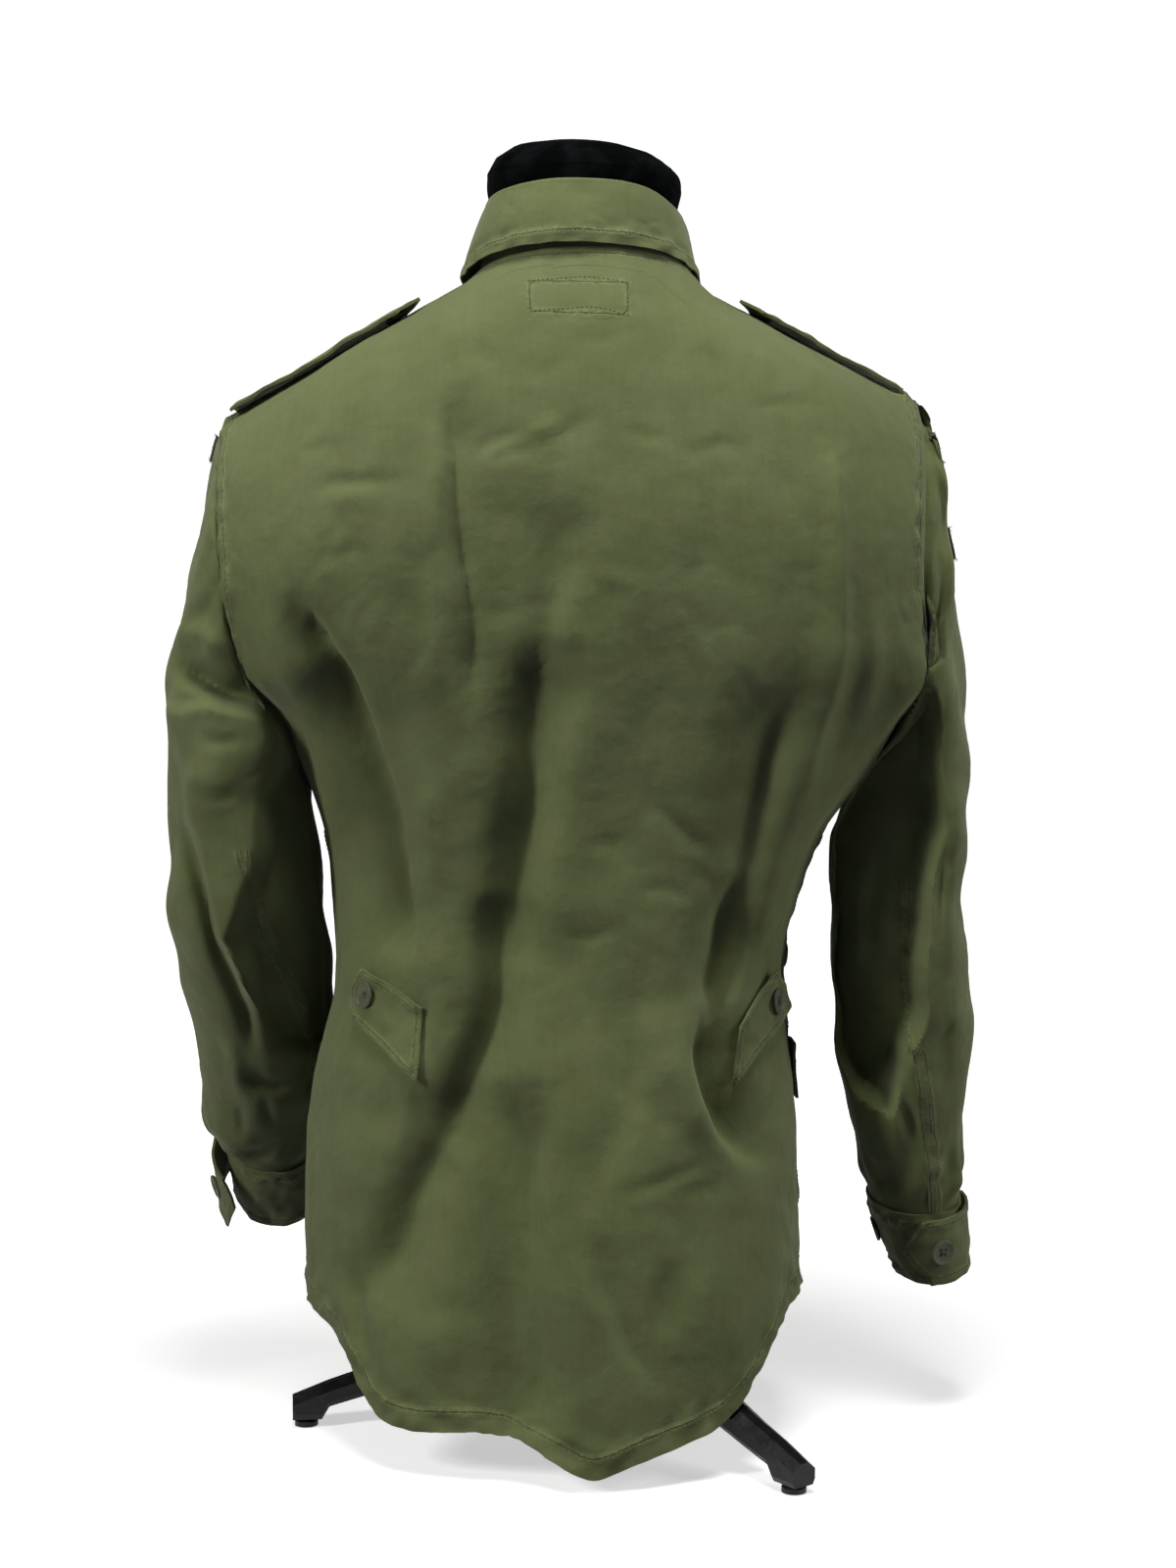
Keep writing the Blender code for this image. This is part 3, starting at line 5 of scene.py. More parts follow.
import bmesh
import bpy
import numpy as np
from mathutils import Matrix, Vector


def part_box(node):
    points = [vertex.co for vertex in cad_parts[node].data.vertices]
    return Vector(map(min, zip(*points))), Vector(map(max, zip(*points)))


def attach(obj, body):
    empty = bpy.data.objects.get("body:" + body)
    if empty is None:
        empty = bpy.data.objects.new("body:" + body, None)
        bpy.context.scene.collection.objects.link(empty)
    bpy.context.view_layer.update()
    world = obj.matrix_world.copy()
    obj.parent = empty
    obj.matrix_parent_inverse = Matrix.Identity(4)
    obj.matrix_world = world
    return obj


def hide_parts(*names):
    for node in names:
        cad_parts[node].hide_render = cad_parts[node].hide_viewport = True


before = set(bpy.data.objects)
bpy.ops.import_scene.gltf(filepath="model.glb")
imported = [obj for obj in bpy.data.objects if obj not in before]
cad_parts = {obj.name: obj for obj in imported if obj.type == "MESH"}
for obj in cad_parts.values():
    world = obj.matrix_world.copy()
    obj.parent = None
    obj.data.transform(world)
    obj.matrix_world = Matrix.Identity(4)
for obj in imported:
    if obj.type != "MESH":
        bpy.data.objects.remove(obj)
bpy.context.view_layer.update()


# ---------------------------------------------------------------- the garment's sizes, as in the solids
NECK_HALF = 0.078      # half width of the neckline seam
NECK_Y = -0.005        # shoulder seams meet the neckline here
CENTRE_BACK_NECK = (0.085, 0.838)      # y, z
CENTRE_FRONT_NECK = (-0.085, 0.800)    # y, z
UNDERLAP_X = 0.020     # the fronts meet here, under the placket

# One row for each level of the body, named by the height of the centre back.  rise says how late a
# row climbs to its edge; turn is how far round the body it goes, in degrees.
Centre = namedtuple("Centre", "level back_y front_y front_z box turn rise")
CENTRE = [
    Centre(0.035, 0.182, -0.150, 0.078, 0.95, 90, 6.0),    # hem
    Centre(0.120, 0.170, -0.147, 0.165, 0.95, 90, 3.5),    # skirt
    Centre(0.225, 0.153, -0.140, 0.250, 0.92, 90, 2.0),    # hip
    Centre(0.320, 0.136, -0.128, 0.330, 0.90, 90, 1.4),    # waist
    Centre(0.410, 0.130, -0.125, 0.415, 0.88, 90, 1.4),    # rib
    Centre(0.500, 0.134, -0.128, 0.500, 0.85, 90, 1.4),    # underarm
    Centre(0.575, 0.141, -0.128, 0.565, 0.82, 76, 1.4),    # low armhole
    Centre(0.650, 0.142, -0.122, 0.630, 0.80, 64, 1.4),    # mid armhole
    Centre(0.720, 0.132, -0.112, 0.690, 0.80, 60, 1.4),    # high armhole
    Centre(0.790, 0.110, -0.097, 0.755, 0.85, 58, 1.4),    # yoke
    Centre(0.838, 0.085, -0.085, 0.800, 0.85, 58, 1.4),    # neckline and shoulder seam
]
HEM_TOP = 0.150        # the back hem's own curve fades out this far above it
HEM_CURVE = [          # x, z along the back hem
    (-0.153, 0.102), (-0.1475, 0.100), (-0.137, 0.0945), (-0.130, 0.085), (-0.1245, 0.0745),
    (-0.116, 0.063), (-0.109, 0.053), (-0.100, 0.041), (-0.079, 0.0312), (-0.033, 0.019),
    (-0.002, 0.006), (0.026, 0.022), (0.052, 0.0355), (0.086, 0.0352), (0.120, 0.031), (0.145, 0.0335),
    (0.154, 0.042), (0.1665, 0.061), (0.1725, 0.0735), (0.1815, 0.081), (0.193, 0.088), (0.2025, 0.095),
]

# The same levels at the side seam, then round the armhole, for each side of the body.
Edge = namedtuple("Edge", "x z back_y front_in front_y")
EDGE = {
    "left": [
        Edge(0.2025, 0.095, 0.000, 0.000, 0.000),
        Edge(0.2025, 0.165, 0.000, 0.000, 0.000),
        Edge(0.1945, 0.245, 0.000, 0.000, 0.000),
        Edge(0.1810, 0.328, 0.000, 0.000, 0.000),
        Edge(0.1855, 0.412, 0.000, 0.000, 0.000),
        Edge(0.2150, 0.497, 0.000, 0.000, 0.000),
        Edge(0.2440, 0.548, 0.060, 0.012, -0.050),
        Edge(0.2545, 0.612, 0.078, 0.022, -0.066),
        Edge(0.2590, 0.672, 0.058, 0.018, -0.052),
        Edge(0.2603, 0.710, 0.028, 0.008, -0.028),
        Edge(0.2607, 0.727, 0.000, 0.000, 0.000),
    ],
    "right": [
        Edge(0.1530, 0.095, 0.000, 0.000, 0.000),
        Edge(0.1525, 0.165, 0.000, 0.000, 0.000),
        Edge(0.1480, 0.245, 0.000, 0.000, 0.000),
        Edge(0.1415, 0.328, 0.000, 0.000, 0.000),
        Edge(0.1620, 0.412, 0.000, 0.000, 0.000),
        Edge(0.2150, 0.497, 0.000, 0.000, 0.000),
        Edge(0.2380, 0.548, 0.060, 0.010, -0.050),
        Edge(0.2300, 0.625, 0.078, 0.018, -0.066),
        Edge(0.2330, 0.690, 0.053, 0.016, -0.050),
        Edge(0.2345, 0.722, 0.026, 0.008, -0.028),
        Edge(0.2350, 0.739, 0.000, 0.000, 0.000),
    ],
}
NECK_Z = {"left": 0.8290, "right": 0.8205}      # shoulder seams at the neckline
UNDERARM = 5           # row of CENTRE and EDGE where the armhole starts

# Rings down a sleeve after the armhole: where its outer and inner lines are in front view, how far
# it reaches forward and back of its middle, how far it leans forward and twists, in degrees, and
# how much of its shape is its own and not the armhole's moved out.
Ring = namedtuple("Ring", "outer_x outer_z inner_x inner_z mid_y depth lean twist own out")
SLEEVE = {
    "left": [
        Ring(0.2620, 0.690, 0.2180, 0.4925, 0.006, 0.080, 0, 0, 0.30, 0.005),
        Ring(0.2765, 0.622, 0.2155, 0.4860, 0.006, 0.077, 0, 0, 0.60, 0.011),
        Ring(0.2930, 0.577, 0.2110, 0.4770, 0.005, 0.074, 0, 0, 0.85, 0.016),
        Ring(0.3035, 0.540, 0.2058, 0.4640, 0.004, 0.072, 0, 0, 1.00, 0.000),
        Ring(0.3015, 0.490, 0.1995, 0.4430, 0.003, 0.070, 2, 2, 1.00, 0.000),
        Ring(0.3030, 0.430, 0.1955, 0.4150, 0.002, 0.068, 5, 5, 1.00, 0.000),
        Ring(0.3050, 0.385, 0.1930, 0.3800, 0.000, 0.066, 10, 12, 1.00, 0.000),
        Ring(0.2990, 0.340, 0.1900, 0.3400, -0.020, 0.062, 20, 28, 1.00, 0.000),
        Ring(0.2945, 0.295, 0.1900, 0.2950, -0.048, 0.058, 28, 42, 1.00, 0.000),
        Ring(0.2910, 0.250, 0.1950, 0.2500, -0.077, 0.054, 31, 50, 1.00, 0.000),
        Ring(0.2955, 0.212, 0.2020, 0.2120, -0.101, 0.049, 33, 52, 1.00, 0.000),
        Ring(0.2800, 0.183, 0.2070, 0.1830, -0.121, 0.042, 33, 52, 1.00, 0.000),
    ],
    "right": [
        Ring(0.2540, 0.690, 0.2170, 0.4925, 0.006, 0.080, 0, 0, 0.25, 0.011),
        Ring(0.2597, 0.614, 0.2120, 0.4860, 0.006, 0.077, 0, 0, 0.60, 0.018),
        Ring(0.2670, 0.576, 0.2060, 0.4770, 0.005, 0.074, 0, 0, 0.85, 0.022),
        Ring(0.2712, 0.540, 0.1990, 0.4640, 0.004, 0.072, 0, 0, 1.00, 0.000),
        Ring(0.2735, 0.490, 0.1870, 0.4430, 0.003, 0.070, 0, -2, 1.00, 0.000),
        Ring(0.2762, 0.435, 0.1755, 0.4200, 0.002, 0.068, 1, -4, 1.00, 0.000),
        Ring(0.2757, 0.385, 0.1770, 0.3850, 0.000, 0.065, 3, -6, 1.00, 0.000),
        Ring(0.2755, 0.335, 0.1775, 0.3350, -0.004, 0.062, 6, -8, 1.00, 0.000),
        Ring(0.2786, 0.285, 0.1830, 0.2850, -0.011, 0.058, 8, -10, 1.00, 0.000),
        Ring(0.2800, 0.235, 0.1910, 0.2350, -0.018, 0.055, 8, -14, 1.00, 0.000),
        Ring(0.2790, 0.192, 0.2000, 0.1920, -0.024, 0.051, 8, -18, 1.00, 0.000),
        Ring(0.2757, 0.158, 0.2090, 0.1580, -0.029, 0.046, 8, -20, 1.00, 0.000),
    ],
}
CUFF = {
    "left": [
        Ring(0.2815, 0.1824, 0.2055, 0.1824, -0.1213, 0.0435, 33, 0, 1.0, 0.0),
        Ring(0.2800, 0.1330, 0.2070, 0.1330, -0.1540, 0.0425, 33, 0, 1.0, 0.0),
    ],
    "right": [
        Ring(0.2772, 0.1565, 0.2075, 0.1565, -0.0291, 0.0475, 8, 0, 1.0, 0.0),
        Ring(0.2812, 0.1020, 0.2262, 0.1020, -0.0370, 0.0455, 8, 0, 1.0, 0.0),
    ],
}
TOP_SLEEVE = (-85, 100)      # degrees round the armhole from its top, front to back seam

Fold = namedtuple("Fold", "name face depth width lean points")
ARMHOLE_GAP = 0.0004   # sleeves start this far outside the armhole
# Collar: rings round the neck at the fold and the fall's lower edge.
# tilt raises the wearer's left; dip says how late the front part drops.
Neck = namedtuple("Neck", "mid half back_y front_y back_z side_z front_z tilt dip")
COLLAR_TOP = Neck(0.0030, 0.0680, 0.0790, -0.0740, 0.8850, 0.8710, 0.8380, 0.048, 1.0)
COLLAR_EDGE = Neck(0.0045, 0.0860, 0.1040, -0.1030, 0.8400, 0.8255, 0.7900, 0.015, 1.8)
COLLAR_END = 174       # degrees from the centre back to a collar end
COLLAR_ROLL = 0.0030   # half the thickness of the rolled fold
COLLAR_SWELL = 0.002   # the fall bows out this much

# Epaulettes: ends as shares of the way from the armhole to the neckline, and how far back they lie.
Strap = namedtuple("Strap", "start end outer_y inner_y")
EPAULETTE = {"left": Strap(0.03, 0.775, -0.006, 0.002), "right": Strap(0.06, 0.81, -0.016, 0.002)}
STRAP_HALF = 0.023     # half a strap's width
STRAP_LIFT = 0.0012    # above the shoulder seam at the armhole
STRAP_RAISE = 0.0015   # further at the pointed end
STRAP_DROOP = 0.0025   # its long edges hang this much
STRAP_POINT = 0.018    # length of its point

# Waist tabs as x, z in front view: the sewn end's low and high corners, then the free end's low corner,
# tip and high corner.
Tab = namedtuple("Tab", "sewn_low sewn_high low tip high")
WAIST_TAB = {
    "left": Tab((0.1165, 0.2676), (0.1112, 0.3164), (0.1613, 0.3034), (0.1625, 0.3220), (0.1535, 0.3401)),
    "right": Tab((-0.0990, 0.2595), (-0.1035, 0.3010), (-0.1385, 0.3050), (-0.1350, 0.3230),
                 (-0.1270, 0.3370)),
}

PLACKET_X = (-0.020, 0.030)            # x of the placket's edges
PLACKET_LIFT = 0.0007                  # it lies this far off the fronts

# Cuff tabs: the degrees round the cuff where each starts and ends, and how far off its tip stands.
CuffTab = namedtuple("CuffTab", "start tip off")
CUFF_TAB = {"left": CuffTab(-60, 60, 0.012), "right": CuffTab(-15, 120, 0.001)}
TAB_CURL = 0.8                         # how late a cuff tab leaves the cuff

PATCH_SIDE = {"patch_left": "left", "patch_right_upper": "right", "patch_right_lower": "right"}

NECK_RINGS = [            # z, radius, rise towards the wearer's left: the neck and its domed cap
    (0.8210, 0.0620, 0.048), (0.8450, 0.0628, 0.020), (0.8700, 0.0660, 0.010), (0.8800, 0.0680, 0.010),
    (0.8880, 0.0693, 0.020), (0.8965, 0.0686, 0.034), (0.9045, 0.0630, 0.044), (0.9130, 0.0480, 0.042),
    (0.9175, 0.0310, 0.032), (0.9200, 0.0120, 0.020),
]
NECK_MID = (0.003, 0.004)              # x, y of the neck's axis
STAND_MID = (-0.008, 0.008)            # x, y of the post


# ---------------------------------------------------------------- sizes of the looks
SHELL = 0.0012             # single cloth
DOUBLE = 0.0022            # doubled cloth
STITCH_LENGTH = 0.0025
STITCH_PITCH = 0.0032      # from one stitch to the next
STITCH_HALF = 0.00028      # half a stitch's thickness
IMAGE_WIDE = 1200          # the camera's frame and its focal length, in pixels
IMAGE_LONG = 1600
FOCAL = 2676
PITCH = 0.0656             # radians that the camera looks down
CAMERA = (0.0, 1.9, 0.588)
SENSOR = 36.0              # the sensor's long side, in millimetres
REST = 0.0007              # a cuff tab starts this far off its cuff
WALL = 0.0016              # room kept for one wall
BAND = 0.0024              # room kept for a doubled band
SEAM = 0.00045             # gap between the collar's stand and its fold
FLAP_POINT = 0.016         # a pocket flap's middle hangs this much lower than its corners
PATCH_THICK = 0.0010
PATCH_LIFT = 0.0019        # a patch's face lies this far off the sleeve's
PATCH_SPREAD = 0.024       # half a patch's width round the sleeve
HOLE_REACH = 0.0019        # a button's holes lie this far out each way
HOLE_RADIUS = 0.0010
BAND_SKIP = 0.003          # a band's stitching stops this far short of its corners
SLEEVE_ROWS = 150          # rows of a sleeve's grid
TAB_TIP_FROM = {"left": 0.86, "right": 0.70}   # shares of the cuff tabs where their points begin
DEEPEST = 0.0190           # folds of the back deeper than this are eased off
DEEPEST_SOFT = 0.0090      # and go at most this much deeper
SEAM_SHOWS = {"left": 0.425, "right": 0.400}   # sleeve seams lie in folds above these heights
TUCK = 0.009               # a sleeve's end reaches this far into its cuff
TUCK_IN = 0.07             # and is drawn in by this share
COLLAR_LIE = 0.0019        # the collar's edge lies this far off the back
NECK_SHARE = 6 / 13        # share of a half panel's top edge that is neckline
KEY = 52                   # the four lights, in watts
SIDE = 24
TOP = 30
FRONT = 2
WORLD_FILL = 0.02          # strength of the surround's light
AXES = {"left": (0.24, -0.13, 0.0), "right": (-0.245, -0.03, 0.0)}     # x, y of each cuff's middle

low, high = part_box("post")
SHIFT = np.array([(low[0] + high[0]) / 2 - STAND_MID[0], (low[1] + high[1]) / 2 - STAND_MID[1], 0.0])
HEM_X = np.linspace(HEM_CURVE[0][0], HEM_CURVE[-1][0], 401)
HEM_Z = np.interp(HEM_X, *np.array(HEM_CURVE).T)
for _ in range(60):
    HEM_Z[1:-1] += (HEM_Z[:-2] + HEM_Z[2:] - 2 * HEM_Z[1:-1]) * 0.5
LEVELS = np.concatenate([
    np.linspace(CENTRE[0].level, CENTRE[0].level + 0.020, 13)[:-1],
    np.linspace(CENTRE[0].level + 0.020, 0.500, 112)[:-1],
    np.linspace(0.500, 0.810, 82)[:-1],
    np.linspace(0.810, CENTRE[-1].level, 14),
])

# Folds: troughs (depth < 0) and ridges (depth > 0) over points x, z seen from one face: +1 the back,
# -1 the front.  width is half the fold's breadth; lean widens one flank and narrows the other.
FOLD_END = 0.045           # length over which a fold dies away
FOLD_PLANE = 0.095         # y of the upright plane that the lines of the back's folds are laid out on

# The back's folds: name, depth, width, lean, and the points chosen for its line, in pixels across and
# down the camera's frame.
BACK_LINES = [
    ("main trough top", -0.011, 0.013, 0.5, [(592, 480), (586, 540), (577, 600), (568, 650), (562, 700)]),
    ("main trough", -0.029, 0.019, 0.16, [
        (569, 640), (560, 710), (551, 760), (541, 830), (534, 880), (528, 940), (520, 990)]),
    ("main trough deep", -0.006, 0.0115, 0.3, [(541, 800), (534, 880), (528, 940), (524, 975)]),
    ("main trough low", -0.03, 0.025, -0.42, [
        (512, 905), (507, 940), (500, 1000), (486, 1060), (469, 1120), (445, 1180)]),
    ("main trough end", -0.017, 0.021, -0.4, [
        (463, 1125), (438, 1182), (408, 1232), (386, 1285), (372, 1335)]),
    ("panel edge", 0.005, 0.0085, -0.2, [
        (594, 440), (588, 499), (579, 601), (560, 728), (545, 847), (532, 940), (532, 1000)]),
    ("panel edge low", 0.004, 0.009, -0.2, [
        (536, 1010), (539, 1080), (538, 1159), (540, 1230), (544, 1290), (549, 1362), (560, 1410)]),
    ("tail trough", -0.018, 0.015, 0.45, [
        (544, 1120), (538, 1160), (535, 1200), (535, 1260), (538, 1320), (544, 1380), (550, 1440)]),
    ("left skirt fall", -0.022, 0.042, 0.55, [
        (528, 1080), (530, 1180), (532, 1260), (537, 1360), (547, 1470)]),
    ("left panel lip", 0.003, 0.008, 0.2, [
        (462, 960), (446, 1010), (432, 1065), (420, 1115), (410, 1155), (388, 1200)]),
    ("left blade trough", -0.0085, 0.013, -0.5, [
        (470, 385), (464, 450), (464, 500), (468, 560), (474, 620), (482, 690), (490, 740)]),
    ("left blade lip", 0.0035, 0.008, 0.0, [(448, 430), (446, 500), (444, 570), (444, 650), (448, 720)]),
    ("left blade floor", -0.005, 0.023, 0.0, [(520, 470), (520, 560), (516, 660), (514, 740), (512, 800)]),
    ("left ridge", 0.005, 0.015, 0.0, [(430, 760), (436, 830), (438, 900), (442, 970), (436, 1030)]),
    ("left side trough", -0.0205, 0.0115, 0.25, [
        (300, 590), (325, 650), (348, 700), (364, 750), (378, 810), (390, 875), (404, 930), (418, 985)]),
    ("left side slope", -0.008, 0.022, 0.4, [
        (330, 650), (350, 700), (372, 750), (392, 810), (412, 875), (428, 930), (440, 985)]),
    ("left side lip", 0.0035, 0.01, 0.0, [(262, 600), (290, 680), (318, 745), (335, 800), (346, 860)]),
    ("left side crease", -0.0035, 0.0055, 0.0, [(352, 860), (368, 910), (392, 950), (420, 990)]),
    ("left tab pull", -0.003, 0.0055, 0.0, [(420, 1000), (428, 1040), (438, 1090)]),
    ("left hip swell", 0.0045, 0.022, 0.0, [(385, 1130), (372, 1190), (350, 1240)]),
    ("left hem curl", -0.006, 0.0075, 0.0, [(352, 1270), (362, 1330), (372, 1400)]),
    ("left hem lip", 0.0035, 0.007, 0.0, [(342, 1290), (352, 1350), (362, 1400)]),
    ("right trough", -0.01, 0.018, 0.5, [
        (806, 700), (796, 760), (782, 820), (768, 880), (754, 930), (740, 975), (730, 1010), (726, 1050)]),
    ("right trough mid", -0.013, 0.011, 0.3, [(764, 880), (744, 960), (731, 1010), (726, 1060)]),
    ("right trough low", -0.024, 0.013, -0.4, [
        (724, 1010), (722, 1065), (730, 1100), (742, 1128), (758, 1152), (776, 1170), (796, 1180)]),
    ("right tab swell", 0.006, 0.011, 0.0, [
        (690, 1040), (694, 1080), (706, 1120), (726, 1150), (750, 1175)]),
    ("right ridge", 0.0065, 0.013, -0.2, [
        (842, 439), (847, 500), (850, 558), (850, 610), (842, 680), (826, 750), (808, 815), (792, 880),
        (776, 930), (762, 980)]),
    ("right crest", 0.0022, 0.0045, 0.0, [
        (843, 445), (849, 560), (854, 637), (840, 720), (826, 780), (816, 830)]),
    ("right side fall", -0.0022, 0.01, 0.2, [(874, 590), (872, 640), (866, 696), (852, 760), (838, 806)]),
    ("right side swell", 0.003, 0.009, 0.0, [(892, 600), (888, 660), (878, 720), (862, 780)]),
    ("underarm lip", 0.006, 0.0085, 0.0, [
        (934, 640), (940, 676), (920, 704), (900, 730), (884, 760), (868, 792)]),
    ("centre edge", -0.0024, 0.018, -0.6, [(654, 600), (656, 680), (658, 740), (658, 800)]),
    ("C", -0.004, 0.013, 0.3, [
        (652, 965), (652, 1010), (650, 1060), (640, 1110), (624, 1150), (606, 1185), (596, 1225)]),
    ("C swell", 0.003, 0.015, 0.0, [(680, 1010), (682, 1060), (676, 1110)]),
    ("tail arc", -0.005, 0.012, -0.5, [
        (604, 1225), (606, 1260), (612, 1290), (630, 1330), (652, 1362), (680, 1392)]),
    ("tail arc lip", 0.0028, 0.009, 0.0, [(588, 1230), (594, 1280), (606, 1320), (622, 1352)]),
    ("tail crease", -0.0022, 0.005, 0.2, [(624, 1192), (668, 1190), (706, 1184), (726, 1188)]),
    ("tail crease b", -0.0018, 0.005, 0.2, [(676, 1204), (716, 1202), (752, 1194)]),
    ("tail crease c", -0.0016, 0.006, 0.0, [(640, 1092), (662, 1110), (676, 1130), (700, 1146)]),
    ("tail crease d", -0.0012, 0.007, 0.0, [(628, 1224), (664, 1220), (700, 1230)]),
    ("right hem swell", 0.0035, 0.017, 0.0, [(716, 1240), (720, 1310), (710, 1380)]),
    ("right hem trough", -0.0035, 0.013, 0.0, [(690, 1250), (684, 1310), (676, 1350)]),
    ("right hem curl", -0.0045, 0.0075, 0.0, [(806, 1290), (796, 1340), (786, 1380)]),
    ("left tail swell", 0.003, 0.017, 0.0, [(452, 1240), (450, 1320), (452, 1400)]),
    ("left tail crease", -0.0012, 0.008, 0.0, [(420, 1330), (460, 1310), (500, 1320)]),
    ("star a", -0.003, 0.0045, 0.0, [(592, 430), (580, 440), (570, 460)]),
    ("star b", 0.0035, 0.006, 0.0, [(540, 440), (556, 442), (574, 450)]),
    ("star c", -0.0022, 0.0045, 0.0, [(474, 470), (500, 454), (528, 440), (540, 430)]),
    ("star d", -0.0018, 0.004, 0.0, [(556, 462), (530, 464), (500, 470)]),
    ("left crumple a", -0.0022, 0.0045, 0.0, [(300, 514), (334, 500), (371, 495), (410, 497), (424, 504)]),
    ("left crumple b", -0.0016, 0.0045, 0.0, [(350, 500), (340, 520), (352, 548)]),
    ("left crumple c", 0.0018, 0.0055, 0.0, [(330, 512), (370, 510), (404, 520)]),
    ("left crumple d", -0.0016, 0.005, 0.0, [(306, 470), (336, 462), (364, 466)]),
    ("left crumple e", -0.0014, 0.005, 0.0, [(316, 570), (352, 562), (390, 556)]),
    ("left crumple f", -0.0012, 0.0045, 0.0, [(372, 440), (368, 470), (384, 492)]),
    ("right crease a", -0.0026, 0.0045, 0.3, [(662, 812), (690, 830), (716, 848), (744, 858)]),
    ("right crease b", -0.0026, 0.006, 0.4, [(742, 670), (762, 700), (784, 740)]),
    ("right crease c", -0.0018, 0.004, 0.0, [(727, 499), (716, 540), (707, 578)]),
    ("right crease d", -0.0018, 0.0045, 0.0, [(736, 690), (752, 728), (768, 762)]),
    ("right crease e", -0.0016, 0.004, 0.0, [(614, 479), (616, 520), (618, 562)]),
    ("right crease f", -0.0018, 0.0045, 0.0, [(668, 590), (660, 640), (672, 690)]),
    ("right crease g", -0.0016, 0.0045, 0.0, [(690, 640), (712, 700), (704, 748)]),
    ("right crease h", -0.0014, 0.004, 0.0, [(730, 740), (738, 780), (732, 800)]),
    ("right crease i", -0.0014, 0.0045, 0.0, [(650, 780), (664, 810), (660, 850)]),
    ("right crease j", -0.0012, 0.005, 0.0, [(700, 880), (730, 890), (742, 920)]),
    ("right crease k", -0.0012, 0.005, 0.0, [(640, 860), (616, 856), (600, 850)]),
    ("yoke crease a", 0.0012, 0.004, 0.0, [(597, 578), (622, 588), (648, 598)]),
    ("yoke crease b", -0.002, 0.005, 0.0, [(690, 478), (716, 468), (742, 460), (768, 466)]),
    ("yoke crease c", -0.0014, 0.0045, 0.0, [(630, 446), (660, 452), (690, 456)]),
    ("yoke crease d", -0.0014, 0.005, 0.0, [(780, 470), (800, 500), (796, 540)]),
    ("yoke crease e", -0.0012, 0.005, 0.0, [(760, 420), (800, 410), (840, 420)]),
    ("yoke crease f", -0.0012, 0.0055, 0.0, [(560, 330), (600, 352), (646, 350)]),
    ("yoke crease g", -0.0012, 0.006, 0.0, [(470, 340), (500, 362), (520, 392)]),
    ("yoke crease h", -0.0012, 0.0055, 0.0, [(700, 340), (730, 372), (740, 410)]),
    ("waist crease a", -0.0014, 0.005, 0.0, [(560, 940), (600, 950), (640, 940)]),
    ("waist crease b", -0.0014, 0.005, 0.0, [(640, 905), (680, 900), (712, 912)]),
    ("waist crease c", 0.0012, 0.006, 0.0, [(600, 1010), (612, 1060), (606, 1120)]),
]


def on_fold_plane(across, down):
    """x, z, to the millimetre, where the ray through a pixel of the camera's frame meets the folds' plane."""
    right = across - IMAGE_WIDE / 2
    up = IMAGE_LONG / 2 - down
    ahead = -math.cos(PITCH) * FOCAL - math.sin(PITCH) * up
    rise = -math.sin(PITCH) * FOCAL + math.cos(PITCH) * up
    reach = (FOLD_PLANE - CAMERA[1]) / ahead
    return round(CAMERA[0] - right * reach, 3), round(CAMERA[2] + rise * reach, 3)


BACK_FOLDS = [Fold(name, 1, depth, width, lean, [on_fold_plane(*spot) for spot in line])
              for name, depth, width, lean, line in BACK_LINES]
FRONT_FOLDS = [
    Fold("left drape", -1, -0.0090, 0.0170, 0.2, [
        (0.105, 0.700), (0.110, 0.560), (0.120, 0.430), (0.124, 0.330)]),
    Fold("left drape ridge", -1, 0.0050, 0.0140, 0.0, [(0.080, 0.690), (0.082, 0.560), (0.090, 0.430)]),
    Fold("left side drape", -1, -0.0080, 0.0150, 0.0, [
        (0.210, 0.600), (0.186, 0.520), (0.160, 0.440), (0.146, 0.360)]),
    Fold("left chest crease", -1, -0.0025, 0.0060, 0.0, [(0.150, 0.690), (0.120, 0.660), (0.060, 0.650)]),
    Fold("right drape", -1, -0.0080, 0.0160, 0.0, [
        (-0.090, 0.700), (-0.100, 0.560), (-0.104, 0.430), (-0.100, 0.340)]),
    Fold("right drape ridge", -1, 0.0050, 0.0140, 0.0, [(-0.066, 0.690), (-0.070, 0.540), (-0.072, 0.420)]),
    Fold("right side drape", -1, -0.0070, 0.0140, 0.0, [(-0.196, 0.590), (-0.170, 0.510), (-0.148, 0.430)]),
    Fold("right chest crease", -1, -0.0025, 0.0060, 0.0, [
        (-0.150, 0.680), (-0.110, 0.655), (-0.050, 0.650)]),
]
